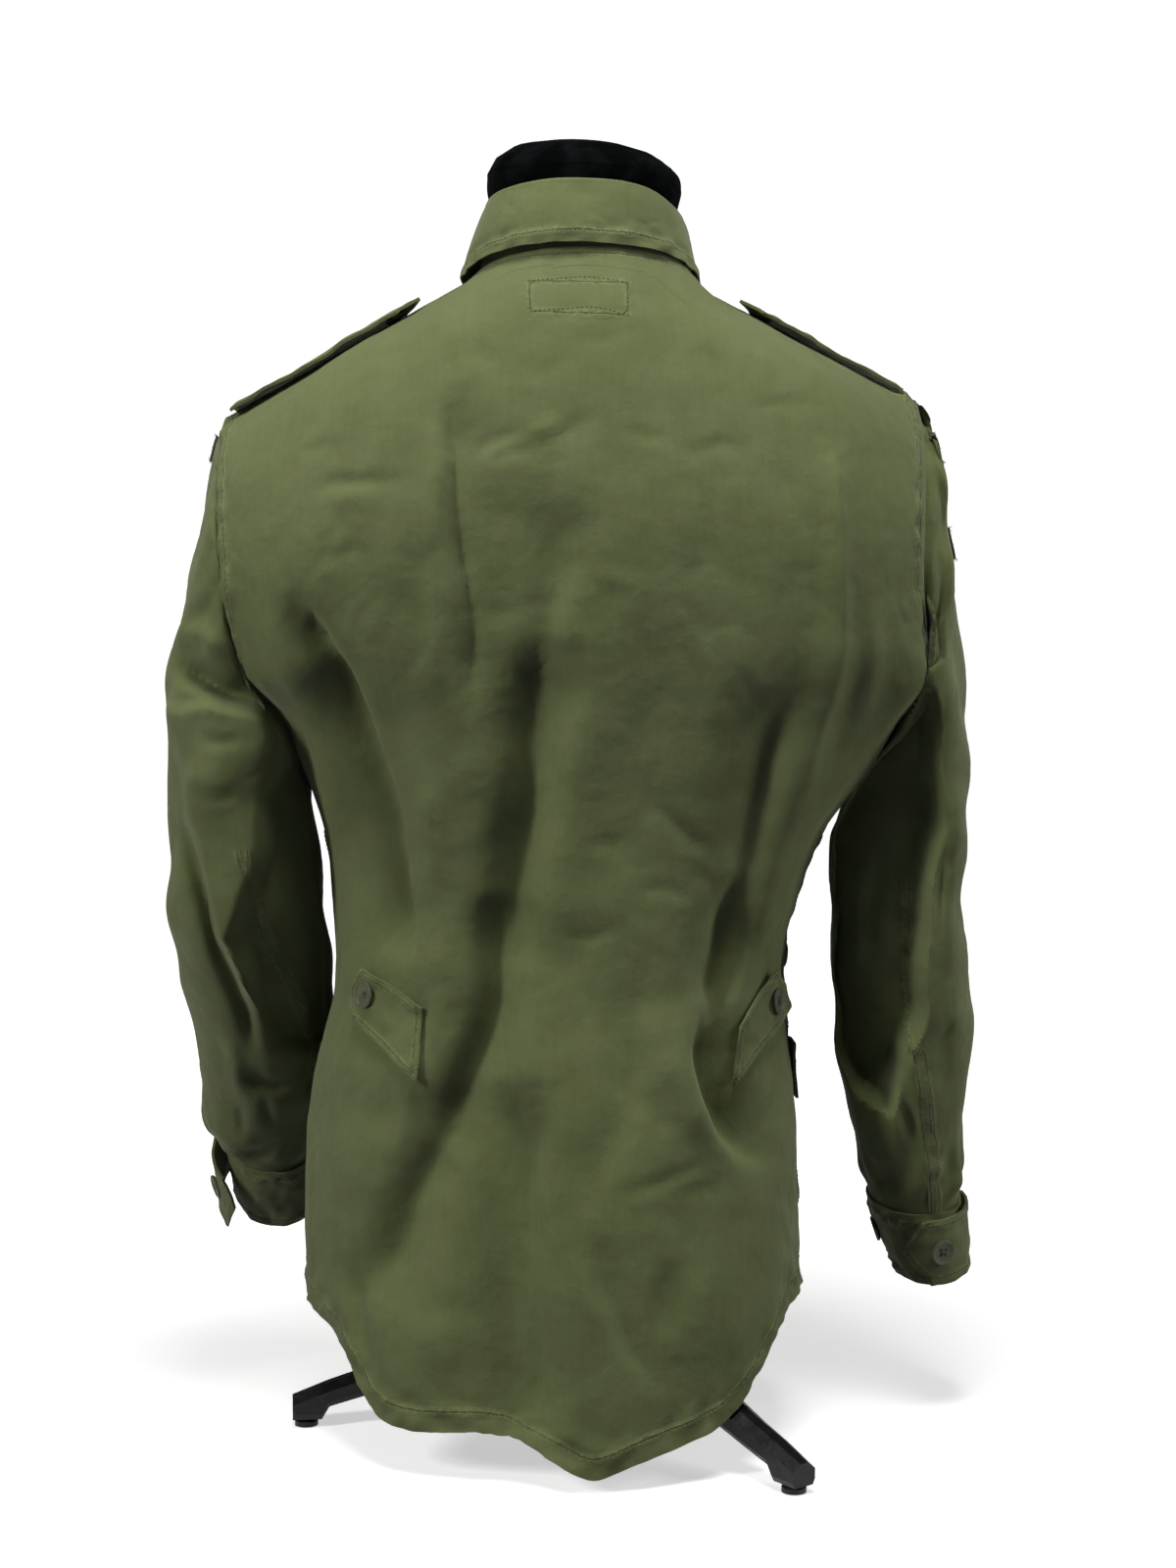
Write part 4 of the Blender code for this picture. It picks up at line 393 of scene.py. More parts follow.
SLEEVE_FOLDS = {
    "left": [
        Fold("armpit crease", 1, -0.0280, 0.0095, -0.45, [
            (0.303, 0.554), (0.284, 0.547), (0.266, 0.541), (0.250, 0.533), (0.236, 0.525), (0.218, 0.512)]),
        Fold("armpit upper ridge", 1, 0.0070, 0.0100, 0.0, [
            (0.300, 0.578), (0.276, 0.570), (0.246, 0.556)]),
        Fold("armpit crease end", 1, -0.0050, 0.0050, 0.0, [
            (0.294, 0.568), (0.278, 0.563), (0.264, 0.562)]),
        Fold("left line", 1, -0.0130, 0.0060, 0.20, [
            (0.284, 0.455), (0.279, 0.425), (0.274, 0.404), (0.270, 0.383), (0.266, 0.362), (0.261, 0.341),
            (0.257, 0.318), (0.251, 0.295), (0.250, 0.262)]),
        Fold("second ridge", 1, 0.0080, 0.0065, -0.50, [
            (0.258, 0.366), (0.251, 0.337), (0.246, 0.315), (0.239, 0.294), (0.229, 0.266)]),
        Fold("flap crease", 1, -0.0026, 0.0045, 0.0, [(0.268, 0.505), (0.252, 0.500), (0.236, 0.502)]),
        Fold("flap crease low", 1, -0.0026, 0.0050, 0.0, [(0.276, 0.470), (0.258, 0.462), (0.240, 0.468)]),
        Fold("outer crease", 1, -0.0050, 0.0040, 0.0, [(0.288, 0.440), (0.291, 0.405), (0.291, 0.366)]),
        Fold("inner crease", 1, -0.0040, 0.0050, 0.0, [(0.212, 0.430), (0.206, 0.390), (0.206, 0.350)]),
        Fold("lower ridge", 1, 0.0050, 0.0080, 0.0, [(0.268, 0.290), (0.266, 0.250), (0.252, 0.215)]),
        Fold("lower shade", 1, -0.0090, 0.0090, 0.0, [(0.262, 0.252), (0.240, 0.240), (0.216, 0.236)]),
        Fold("cuff gather a", 1, -0.0035, 0.0045, 0.0, [(0.246, 0.232), (0.240, 0.210), (0.238, 0.196)]),
        Fold("cuff gather b", 1, -0.0030, 0.0045, 0.0, [(0.264, 0.222), (0.262, 0.206), (0.264, 0.192)]),
        Fold("shoulder drape", 1, -0.0050, 0.0080, 0.0, [(0.276, 0.672), (0.286, 0.630), (0.290, 0.585)]),
        Fold("shoulder ridge", 1, 0.0035, 0.0080, 0.0, [(0.266, 0.668), (0.272, 0.625), (0.272, 0.585)]),
        Fold("shoulder crease a", 1, -0.0022, 0.0045, 0.0, [
            (0.262, 0.640), (0.272, 0.610), (0.288, 0.596)]),
        Fold("shoulder crease b", 1, -0.0022, 0.0045, 0.0, [
            (0.264, 0.600), (0.274, 0.586), (0.290, 0.580)]),
        Fold("fore crease", -1, -0.0100, 0.0100, 0.0, [(0.290, 0.375), (0.250, 0.358), (0.206, 0.360)]),
        Fold("fore upper crease", -1, -0.0090, 0.0100, 0.0, [
            (0.296, 0.500), (0.256, 0.478), (0.220, 0.470)]),
        Fold("fore ridge", -1, 0.0060, 0.0120, 0.0, [(0.286, 0.430), (0.256, 0.420), (0.222, 0.420)]),
        Fold("fore lower crease", -1, -0.0060, 0.0070, 0.0, [
            (0.280, 0.300), (0.250, 0.286), (0.214, 0.292)]),
        Fold("fore gather", -1, -0.0030, 0.0045, 0.0, [(0.252, 0.240), (0.248, 0.215), (0.246, 0.196)]),
    ],
    "right": [
        Fold("gusset fold", 1, 0.0060, 0.0055, 0.30, [
            (-0.246, 0.553), (-0.232, 0.536), (-0.224, 0.515), (-0.210, 0.490), (-0.196, 0.463)]),
        Fold("gusset a", 1, -0.0060, 0.0055, 0.0, [(-0.241, 0.545), (-0.234, 0.522), (-0.230, 0.500)]),
        Fold("gusset b", 1, 0.0050, 0.0050, 0.0, [(-0.226, 0.500), (-0.214, 0.484), (-0.202, 0.462)]),
        Fold("outer ridge", 1, 0.0050, 0.0100, 0.0, [
            (-0.262, 0.600), (-0.261, 0.509), (-0.261, 0.440), (-0.262, 0.369), (-0.268, 0.283),
            (-0.277, 0.210)]),
        Fold("mid line", 1, -0.0030, 0.0050, 0.0, [
            (-0.250, 0.560), (-0.246, 0.495), (-0.250, 0.440), (-0.249, 0.397), (-0.248, 0.340)]),
        Fold("inner crease a", 1, -0.0040, 0.0060, 0.0, [
            (-0.214, 0.440), (-0.206, 0.380), (-0.208, 0.320)]),
        Fold("inner crease b", 1, 0.0040, 0.0070, 0.0, [(-0.196, 0.430), (-0.194, 0.370), (-0.200, 0.310)]),
        Fold("elbow crease a", 1, -0.0035, 0.0045, 0.0, [
            (-0.272, 0.430), (-0.262, 0.412), (-0.252, 0.408)]),
        Fold("elbow crease b", 1, -0.0030, 0.0045, 0.0, [
            (-0.274, 0.350), (-0.262, 0.334), (-0.250, 0.332)]),
        Fold("elbow crease c", 1, -0.0030, 0.0045, 0.0, [
            (-0.266, 0.300), (-0.252, 0.286), (-0.240, 0.288)]),
        Fold("cheek", 1, -0.0060, 0.0060, 0.20, [
            (-0.219, 0.275), (-0.224, 0.250), (-0.235, 0.225), (-0.240, 0.196)]),
        Fold("lower ridge", 1, 0.0050, 0.0070, 0.0, [(-0.212, 0.260), (-0.220, 0.225), (-0.226, 0.190)]),
        Fold("cuff gather", 1, -0.0030, 0.0045, 0.0, [(-0.262, 0.205), (-0.262, 0.185), (-0.258, 0.168)]),
        Fold("upper crease", 1, -0.0026, 0.0045, 0.0, [(-0.268, 0.600), (-0.260, 0.560), (-0.250, 0.540)]),
        Fold("upper crease b", 1, -0.0020, 0.0040, 0.0, [
            (-0.254, 0.690), (-0.252, 0.640), (-0.254, 0.590)]),
        Fold("fore crease", -1, -0.0090, 0.0100, 0.0, [(-0.268, 0.375), (-0.235, 0.358), (-0.195, 0.362)]),
        Fold("fore upper crease", -1, -0.0080, 0.0100, 0.0, [
            (-0.264, 0.500), (-0.232, 0.480), (-0.200, 0.478)]),
        Fold("fore ridge", -1, 0.0060, 0.0120, 0.0, [(-0.262, 0.430), (-0.232, 0.422), (-0.196, 0.425)]),
        Fold("fore lower crease", -1, -0.0060, 0.0070, 0.0, [
            (-0.270, 0.290), (-0.240, 0.278), (-0.206, 0.284)]),
    ],
}

# Places where a sleeve's inner side is drawn towards the body.
Pull = namedtuple("Pull", "level height shift")
SLEEVE_PULLS = {
    "left": [Pull(0.505, 0.034, 0.0130)],
    "right": [Pull(0.455, 0.030, 0.0055)],
}

# Areas that stand out or sink as a whole, with soft borders, as closed outlines.
Flap = namedtuple("Flap", "name face height soft points")
SLEEVE_FLAPS = {
    "left": [
        Flap("elbow flap", 1, 0.0100, 0.0045, [
            (0.300, 0.520), (0.283, 0.468), (0.283, 0.445), (0.277, 0.425), (0.274, 0.404), (0.270, 0.383),
            (0.263, 0.356), (0.255, 0.354), (0.248, 0.367), (0.240, 0.384), (0.231, 0.405), (0.226, 0.426),
            (0.224, 0.447), (0.224, 0.468), (0.216, 0.492), (0.222, 0.512), (0.262, 0.524)]),
        Flap("inner shade", 1, -0.0150, 0.0080, [
            (0.222, 0.500), (0.224, 0.447), (0.233, 0.405), (0.248, 0.362), (0.240, 0.315), (0.226, 0.270),
            (0.190, 0.262), (0.188, 0.340), (0.200, 0.430), (0.206, 0.500)]),
    ],
    "right": [
        Flap("armhole strip", 1, -0.0210, 0.0040, [
            (-0.224, 0.740), (-0.245, 0.735), (-0.249, 0.673), (-0.250, 0.632), (-0.251, 0.591),
            (-0.249, 0.556), (-0.232, 0.550), (-0.215, 0.600), (-0.212, 0.640), (-0.214, 0.690)]),
        Flap("inner side", 1, -0.0420, 0.0055, [
            (-0.206, 0.500), (-0.228, 0.530), (-0.238, 0.530), (-0.242, 0.490), (-0.244, 0.440),
            (-0.240, 0.400), (-0.236, 0.350), (-0.233, 0.305), (-0.226, 0.262), (-0.214, 0.232),
            (-0.196, 0.240), (-0.180, 0.290), (-0.172, 0.350), (-0.172, 0.420), (-0.184, 0.470)]),
    ],
}
LABEL = [(0.040, 0.813), (-0.027, 0.811), (-0.027, 0.788), (0.039, 0.791)]   # x, z of its stitching's corners

# A flat cut: width, length and area, in metres and square metres.
Cut = namedtuple("Cut", "width length area")


# ---------------------------------------------------------------- small tools
def ease(value):
    """0 to 1 with flat ends."""
    value = np.clip(value, 0.0, 1.0)
    return value * value * (3.0 - 2.0 * value)


def through(knots, rows, at):
    """A smooth curve through rows at rising knots, read at the values in at, with no overshoot."""
    knots = np.asarray(knots, float)
    rows = np.asarray(rows, float)
    at = np.atleast_1d(at)
    gaps = np.diff(knots).reshape((-1,) + (1,) * (rows.ndim - 1))
    rise = np.diff(rows, axis=0) / gaps
    product = rise[:-1] * rise[1:]
    total = rise[:-1] + rise[1:]
    steady = np.where(product > 0, 2 * product / np.where(total == 0, 1.0, total), 0.0)
    slope = np.concatenate([rise[:1], steady, rise[-1:]])
    index = np.clip(np.searchsorted(knots, at, side="right") - 1, 0, len(knots) - 2)
    shape = (-1,) + (1,) * (rows.ndim - 1)
    span = (knots[index + 1] - knots[index]).reshape(shape)
    u = ((at - knots[index]) / (knots[index + 1] - knots[index])).reshape(shape)
    return ((2 * u ** 3 - 3 * u ** 2 + 1) * rows[index] + (u ** 3 - 2 * u ** 2 + u) * span * slope[index]
            + (3 * u ** 2 - 2 * u ** 3) * rows[index + 1] + (u ** 3 - u ** 2) * span * slope[index + 1])


def lengths(points):
    """Distance along a line of points, from 0 to 1."""
    run = np.concatenate([[0.0], np.cumsum(np.linalg.norm(np.diff(points, axis=0), axis=1))])
    return run / run[-1]


def smooth_line(points, steps):
    """A smooth line through a few points, as steps + 1 points."""
    points = np.asarray(points, float)
    return through(lengths(points), points, np.linspace(0, 1, steps + 1))


def grid_normals(grid, closed=False):
    """Unit normals of a grid of points, rows by columns; closed grids wrap round their columns."""
    padded = np.concatenate([grid[:, -1:], grid, grid[:, :1]], axis=1) if closed else grid
    along = np.gradient(padded, axis=0)
    across = np.gradient(padded, axis=1)
    normal = np.cross(across, along)
    normal = normal[:, 1:-1] if closed else normal
    return normal / np.maximum(np.linalg.norm(normal, axis=2, keepdims=True), 1e-12)


class Surface:
    """A panel's outer grid, read between its points, with its normals."""

    def __init__(self, grid):
        self.grid = grid
        self.normals = grid_normals(grid)

    def read(self, table, u, v):
        rows, columns = self.grid.shape[:2]
        r = np.clip(u, 0, 1) * (rows - 1)
        c = np.clip(v, 0, 1) * (columns - 1)
        r0 = np.minimum(r.astype(int), rows - 2)
        c0 = np.minimum(c.astype(int), columns - 2)
        fr = (r - r0)[..., None]
        fc = (c - c0)[..., None]
        return ((1 - fr) * ((1 - fc) * table[r0, c0] + fc * table[r0, c0 + 1])
                + fr * ((1 - fc) * table[r0 + 1, c0] + fc * table[r0 + 1, c0 + 1]))

    def point(self, u, v):
        u, v = np.broadcast_arrays(np.asarray(u, float), np.asarray(v, float))
        return self.read(self.grid, u, v)

    def normal(self, u, v):
        u, v = np.broadcast_arrays(np.asarray(u, float), np.asarray(v, float))
        found = self.read(self.normals, u, v)
        return found / np.linalg.norm(found, axis=-1, keepdims=True)

    def seek(self, x, z):
        """The u, v of the surface point nearest to x, z in front view."""
        near = np.hypot(self.grid[..., 0] - x, self.grid[..., 2] - z)
        r, c = np.unravel_index(np.argmin(near), near.shape)
        u = r / (self.grid.shape[0] - 1)
        v = c / (self.grid.shape[1] - 1)
        step = 0.002
        for _ in range(12):
            here = self.point(u, v)
            du = (self.point(u + step, v) - here)[[0, 2]] / step
            dv = (self.point(u, v + step) - here)[[0, 2]] / step
            move = np.linalg.lstsq(np.stack([du, dv], 1), np.array([x, z]) - here[[0, 2]], rcond=None)[0]
            u = float(np.clip(u + 0.7 * move[0], 0.001, 0.995))
            v = float(np.clip(v + 0.7 * move[1], 0.001, 0.995))
        return u, v

    def settle(self, x, z):
        """The u, v where the panel, followed outwards from its middle, reaches x at height z."""
        rows, columns = self.grid.shape[:2]
        level = np.array([np.interp(z, self.grid[:, c, 2], np.arange(rows)) for c in range(columns)])
        reach = np.abs(self.point(level / (rows - 1), np.arange(columns) / (columns - 1))[:, 0])
        order = np.arange(columns) if reach[0] < reach[-1] else np.arange(columns)[::-1]
        far = np.maximum.accumulate(reach[order]) + np.arange(columns) * 1e-7
        v = np.interp(abs(x), far, order)
        return float(np.interp(v, np.arange(columns), level)) / (rows - 1), float(v) / (columns - 1)

    def local(self, u, v, along, across):
        """u, v moved by real lengths: along runs up the panel, across runs over its columns."""
        step = 0.004
        here = self.point(u, v)
        scale_u = np.linalg.norm(self.point(u + step, v) - here) / step
        scale_v = np.linalg.norm(self.point(u, v + step) - here) / step
        return u + np.asarray(along) / scale_u, v + np.asarray(across) / scale_v


def waves(points, size, seed, stretch=(1.0, 1.0, 1.0), count=28):
    """A smooth uneven field of unit spread over points: a sum of waves about size metres long."""
    rng = np.random.default_rng(seed)
    turn = rng.normal(size=(count, 3))
    turn /= np.linalg.norm(turn, axis=1, keepdims=True)
    reach = 2 * math.pi / (size * rng.uniform(0.7, 1.6, count))
    phase = rng.uniform(0, 2 * math.pi, count)
    wave = (turn * reach[:, None]) * np.array(stretch)
    return np.cos(points @ wave.T + phase).sum(axis=-1) / math.sqrt(count / 2)


def creases(points, size, seed, sharp=0.30, stretch=(1.0, 1.0, 1.0)):
    """0 to 1: thin random lines where a smooth field changes sign, broken up by another field."""
    line = np.exp(-(waves(points, size, seed, stretch) / sharp) ** 2)
    return line * ease(0.5 + 0.6 * waves(points, size * 1.3, seed + 1))


def across(grid):
    """Distance along each row of a grid from its first column."""
    run = np.cumsum(np.linalg.norm(np.diff(grid, axis=1), axis=2), axis=1)
    return np.concatenate([np.zeros((len(grid), 1)), run], axis=1)


def along(grid):
    """Distance along each column of a grid from its first row."""
    return across(grid.transpose(1, 0, 2)).T


def edge_distance(grid):
    """Distance of every point from the first and last column and the first and last row."""
    over, up = across(grid), along(grid)
    return {"first": over, "last": over[:, -1:] - over, "low": up, "high": up[-1:] - up}


def bunched(inner, dense, part):
    """Shares from 0 to 1: evenly spaced, then closer over the last part."""
    return np.concatenate([np.linspace(0, 1 - part, inner + 1), np.linspace(1 - part, 1, dense + 1)[1:]])


# ---------------------------------------------------------------- cloth shells
Seam = namedtuple("Seam", "edge band rows raise_ pucker")


def sew(grid, normals, seams, seed):
    """Raise the bands of a panel's seams, sink their stitch rows and pucker them.

    Returns the worked grid and each point's signed distance to its nearest stitch row.
    """
    distance = edge_distance(grid)
    nearest = np.full(grid.shape[:2], 1.0)
    shift = np.zeros(grid.shape[:2])
    noise = waves(grid, 0.016, seed, count=40)
    slow = waves(grid, 0.05, seed + 1)
    for seam in seams:
        gap = distance[seam.edge]
        shift = shift + seam.raise_ * ease((seam.band - gap) / 0.0015 + 0.5)
        near = ease((seam.band * 2.1 - gap) / (seam.band * 1.3))
        shift = shift + seam.pucker * near * (0.75 * noise + 0.45 * slow)
        for row in seam.rows:
            offset = gap - row
            shift = shift - 0.45 * seam.raise_ * np.exp(-(offset / 0.0014) ** 2)
            nearest = np.where(np.abs(offset) < np.abs(nearest), offset, nearest)
    return grid + normals * shift[..., None], nearest


def shell(name, outer, thickness, slot, normals=None, closed=False, stitch=None, flip=False):
    """A thin closed wall under an outer grid, with its cloth coordinates in metres."""
    if normals is None:
        normals = grid_normals(outer, closed) * (-1 if flip else 1)
    inner = outer - normals * thickness
    rows, columns = outer.shape[:2]
    size = rows * columns
    index = np.arange(size).reshape(rows, columns)
    wrap = np.concatenate([index, index[:, :1]], axis=1) if closed else index
    a, b, c, d = wrap[:-1, :-1], wrap[:-1, 1:], wrap[1:, 1:], wrap[1:, :-1]
    outside = np.stack([a, b, c, d], axis=-1).reshape(-1, 4)
    inside = np.stack([a, d, c, b], axis=-1).reshape(-1, 4) + size
    rims = []
    for line in (wrap[0][::-1], wrap[-1]):
        rims.append(np.stack([line[:-1], line[1:], line[1:] + size, line[:-1] + size], axis=-1))
    if not closed:
        for line in (wrap[:, 0], wrap[::-1, -1]):
            rims.append(np.stack([line[:-1], line[1:], line[1:] + size, line[:-1] + size], axis=-1))
    faces = np.concatenate([outside, inside, *rims])
    if flip:
        faces = faces[:, ::-1]
    verts = np.concatenate([outer.reshape(-1, 3), inner.reshape(-1, 3)]) + SHIFT
    mesh = bpy.data.meshes.new(name)
    mesh.from_pydata(verts.tolist(), [], faces.tolist())
    mesh.shade_smooth()
    mesh.set_sharp_from_angle(angle=math.radians(60))
    over, up = across(outer), along(outer)
    flat = np.stack([over - over[:, -1:] / 2, up], axis=-1).reshape(-1, 2)
    flat = np.concatenate([flat, flat])
    loops = np.zeros(len(mesh.loops), np.int32)
    mesh.loops.foreach_get("vertex_index", loops)
    mesh.uv_layers.new(name="cloth").data.foreach_set("uv", flat[loops].ravel().astype(np.float32))
    nearest = np.full(size, 1.0) if stitch is None else stitch.ravel()
    mark = mesh.attributes.new("stitch", "FLOAT", "POINT")
    mark.data.foreach_set("value", np.concatenate([nearest, np.full(size, 1.0)]).astype(np.float32))
    return piece(name, mesh, slot)


def piece(name, mesh, slot, look=None):
    """A mesh as a piece of the jacket: it rides on the one body and takes its slot's look."""
    mesh.materials.append(LOOKS[look or slot])
    made = bpy.data.objects.new(name, mesh)
    bpy.context.scene.collection.objects.link(made)
    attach(made, "root")
    return made


# ---------------------------------------------------------------- stitching
def walk(points, normals, pitch, start=0.0):
    """Places and normals every pitch metres along a line."""
    steps = np.linalg.norm(np.diff(points, axis=0), axis=1)
    run = np.concatenate([[0.0], np.cumsum(steps)])
    at = np.arange(start, run[-1], pitch)
    place = np.stack([np.interp(at, run, points[:, k]) for k in range(3)], axis=-1)
    facing = np.stack([np.interp(at, run, normals[:, k]) for k in range(3)], axis=-1)
    return place, facing / np.linalg.norm(facing, axis=1, keepdims=True)


def edge_line(grid, normals, edge, distance, skip=0.0):
    """The line on a grid at a distance from one of its edges, and its normals."""
    gaps = edge_distance(grid)[edge]
    if edge in ("low", "high"):
        grid, normals, gaps = grid.transpose(1, 0, 2), normals.transpose(1, 0, 2), gaps.T
    if edge in ("last", "high"):
        grid, normals, gaps = grid[:, ::-1], normals[:, ::-1], gaps[:, ::-1]
    keep = gaps[:, -1] > distance
    line, face = (np.array([[np.interp(distance, gap, row[:, k]) for k in range(3)]
                            for gap, row in zip(gaps[keep], table[keep])]) for table in (grid, normals))
    if skip:
        run = np.concatenate([[0.0], np.cumsum(np.linalg.norm(np.diff(line, axis=0), axis=1))])
        inside = (run > skip) & (run < run[-1] - skip)
        line, face = line[inside], face[inside]
    return line, face


def stitching(name, lines, slot="cloth"):
    """Rows of stitches as one mesh: each stitch is a slim spindle lying on the cloth."""
    places, nexts, faces_out = [], [], []
    for points, normals in lines:
        place, facing = walk(points, normals, STITCH_PITCH)
        if len(place) < 2:
            continue
        ahead = np.gradient(place, axis=0)
        ahead /= np.maximum(np.linalg.norm(ahead, axis=1, keepdims=True), 1e-9)
        places.append(place)
        nexts.append(ahead)
        faces_out.append(facing)
    place, ahead, facing = (np.concatenate(rows) for rows in (places, nexts, faces_out))
    side = np.cross(ahead, facing)
    half = STITCH_LENGTH / 2
    middle = place + facing * STITCH_HALF * 0.6
    ring = [middle + side * STITCH_HALF, middle + facing * STITCH_HALF,
            middle - side * STITCH_HALF, middle - facing * STITCH_HALF]
    verts = np.stack([place - ahead * half, *ring, place + ahead * half], axis=1) + SHIFT
    one = np.array([(0, 2, 1), (0, 3, 2), (0, 4, 3), (0, 1, 4), (5, 1, 2), (5, 2, 3), (5, 3, 4), (5, 4, 1)])
    faces = (np.arange(len(place))[:, None, None] * 6 + one).reshape(-1, 3)
    mesh = bpy.data.meshes.new(name)
    mesh.from_pydata(verts.reshape(-1, 3).tolist(), [], faces.tolist())
    return piece(name, mesh, slot, "thread")


def sewn_lines(grid, normals, seams, skip=0.0):
    """Every stitch row of a panel's seams as lines on its grid."""
    return [edge_line(grid, normals, seam.edge, row, skip) for seam in seams for row in seam.rows]


def cloth(node):
    """Hide the solid that a cloth piece stands for."""
    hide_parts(node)


# ---------------------------------------------------------------- body panels
def neck_and_shoulder(side, share, front):
    """The panel's top edge: neckline from the centre to the shoulder, then the shoulder seam."""
    sign = 1 if side == "left" else -1
    centre_y, centre_z = CENTRE_FRONT_NECK if front else CENTRE_BACK_NECK
    edge = EDGE[side][-1]
    neck = NECK_SHARE
    turn = np.clip(share / neck, 0, 1) * math.pi / 2
    out = np.clip((share - neck) / (1 - neck), 0, 1)
    x = NECK_HALF * np.sin(turn) + (edge.x - NECK_HALF) * out
    y = NECK_Y + (centre_y - NECK_Y) * np.cos(turn) + (edge.back_y - NECK_Y) * out
    z = NECK_Z[side] + (centre_z - NECK_Z[side]) * np.cos(turn) + (edge.z - NECK_Z[side]) * out
    return np.stack([sign * x, y, z], axis=-1)


def body_rows(side, share, front):
    """Each level's row of points at the given shares of the way from the centre to the edge."""
    sign = 1 if side == "left" else -1
    rows = []
    for centre, edge in zip(CENTRE[:-1], EDGE[side][:-1]):
        turn = math.radians(centre.turn)
        across = (np.sin(share * turn) / math.sin(turn)) ** centre.box
        inward = ((np.cos(share * turn) - math.cos(turn)) / (1 - math.cos(turn))) ** centre.box
        edge_x = edge.x - (edge.front_in if front else 0.0)
        edge_y = edge.front_y if front else edge.back_y
        mid_y = centre.front_y if front else centre.back_y
        mid_z = centre.front_z if front else centre.level
        x = edge_x * across
        y = edge_y + (mid_y - edge_y) * inward
        z = mid_z + (edge.z - mid_z) * across ** centre.rise
        if not front:
            fade = ease(1 - (centre.level - CENTRE[0].level) / HEM_TOP)
            plain = CENTRE[0].level + (edge.z - CENTRE[0].level) * across ** CENTRE[0].rise
            z = z + fade * (np.interp(sign * x, HEM_X, HEM_Z) - plain)
        rows.append(np.stack([sign * x, y, z], axis=-1))
    rows.append(neck_and_shoulder(side, share, front))
    return np.array(rows)


def ring_points(side, ring, angles):
    """Points round one sleeve ring at the given angles; 0 is its outer line, 90 its back."""
    sign = 1 if side == "left" else -1
    outer = np.array([ring.outer_x, ring.mid_y, ring.outer_z])
    inner = np.array([ring.inner_x, ring.mid_y, ring.inner_z])
    turn = np.radians(angles + ring.twist)[:, None]
    lean = math.radians(ring.lean)
    deep = np.array([0.0, math.cos(lean), -math.sin(lean)]) * ring.depth
    points = (outer + inner) / 2 + (outer - inner) / 2 * np.cos(turn) + deep * np.sin(turn)
    return points * np.array([sign, 1, 1])


def neck_ring(ring, degrees):
    """Points round the neck: 0 degrees at the centre back, 90 at the wearer's left."""
    turn = np.radians(degrees)
    x = ring.mid + ring.half * np.sin(turn)
    y = (ring.back_y + ring.front_y) / 2 + (ring.back_y - ring.front_y) / 2 * np.cos(turn)
    end_z = np.where(np.cos(turn) > 0, ring.back_z, ring.front_z)
    share = np.abs(np.cos(turn)) ** np.where(np.cos(turn) > 0, 1.0, ring.dip)
    z = ring.side_z + (end_z - ring.side_z) * share + ring.tilt * x
    return np.stack([x, y, z], axis=-1)


def neckline(degrees):
    """The panels' neckline at the same degrees."""
    turn = np.radians(degrees)
    behind = np.cos(turn) > 0
    side_z = np.where(np.sin(turn) > 0, NECK_Z["left"], NECK_Z["right"])
    share = np.abs(np.cos(turn))
    centre = np.where(behind[:, None], CENTRE_BACK_NECK, CENTRE_FRONT_NECK)
    y = NECK_Y + (centre[:, 0] - NECK_Y) * share
    z = side_z + (centre[:, 1] - side_z) * share
    return np.stack([NECK_HALF * np.sin(turn), y, z], axis=-1)


def neck_outward(ring, degrees):
    """Level unit vectors away from the neck."""
    turn = np.radians(degrees)
    out = np.stack([np.sin(turn) / ring.half,
                    np.cos(turn) * 2 / (ring.back_y - ring.front_y), np.zeros_like(turn)], axis=-1)
    return out / np.linalg.norm(out, axis=1, keepdims=True)


def fold_shift(grid, normals, folds, seed):
    """How far each point moves along its normal for the folds that its face shows."""
    flat = grid[..., [0, 2]]
    drift = np.stack([waves(grid, 0.11, seed), waves(grid, 0.11, seed + 1)], axis=-1) * 0.0022
    flat = flat + drift
    shift = np.zeros(grid.shape[:2])
    for fold in folds:
        line = smooth_line(fold.points, 90)
        run = np.concatenate([[0.0], np.cumsum(np.linalg.norm(np.diff(line, axis=0), axis=1))])
        low = line.min(axis=0) - fold.width * 3.5
        high = line.max(axis=0) + fold.width * 3.5
        inside = np.all((flat > low) & (flat < high), axis=2) & (normals[..., 1] * fold.face > 0)
        if not inside.any():
            continue
        spots = flat[inside]
        near = np.linalg.norm(spots[:, None] - line[None], axis=2).argmin(axis=1)
        away = spots - line[near]
        way = np.gradient(line, axis=0)
        way = (way / np.linalg.norm(way, axis=1, keepdims=True))[near]
        ahead = np.sum(away * way, axis=1) * ((near > 0) & (near < len(line) - 1))
        distance = np.sqrt(np.maximum(np.sum(away * away, axis=1) - ahead * ahead, 0.0))
        side = np.sign(way[:, 0] * away[:, 1] - way[:, 1] * away[:, 0])
        breadth = fold.width * (1 + fold.lean * side)
        power = np.where(breadth > fold.width, 2 - 1.4 * abs(fold.lean), 2.0)
        tail = min(FOLD_END, run[-1] * 0.4)
        ends = ease(np.minimum(run, run[-1] - run) / tail)[near]
        facing = ease(normals[inside][:, 1] * fold.face / 0.35)
        shift[inside] += fold.depth * np.exp(-(distance / breadth) ** power) * ends * facing
    return shift


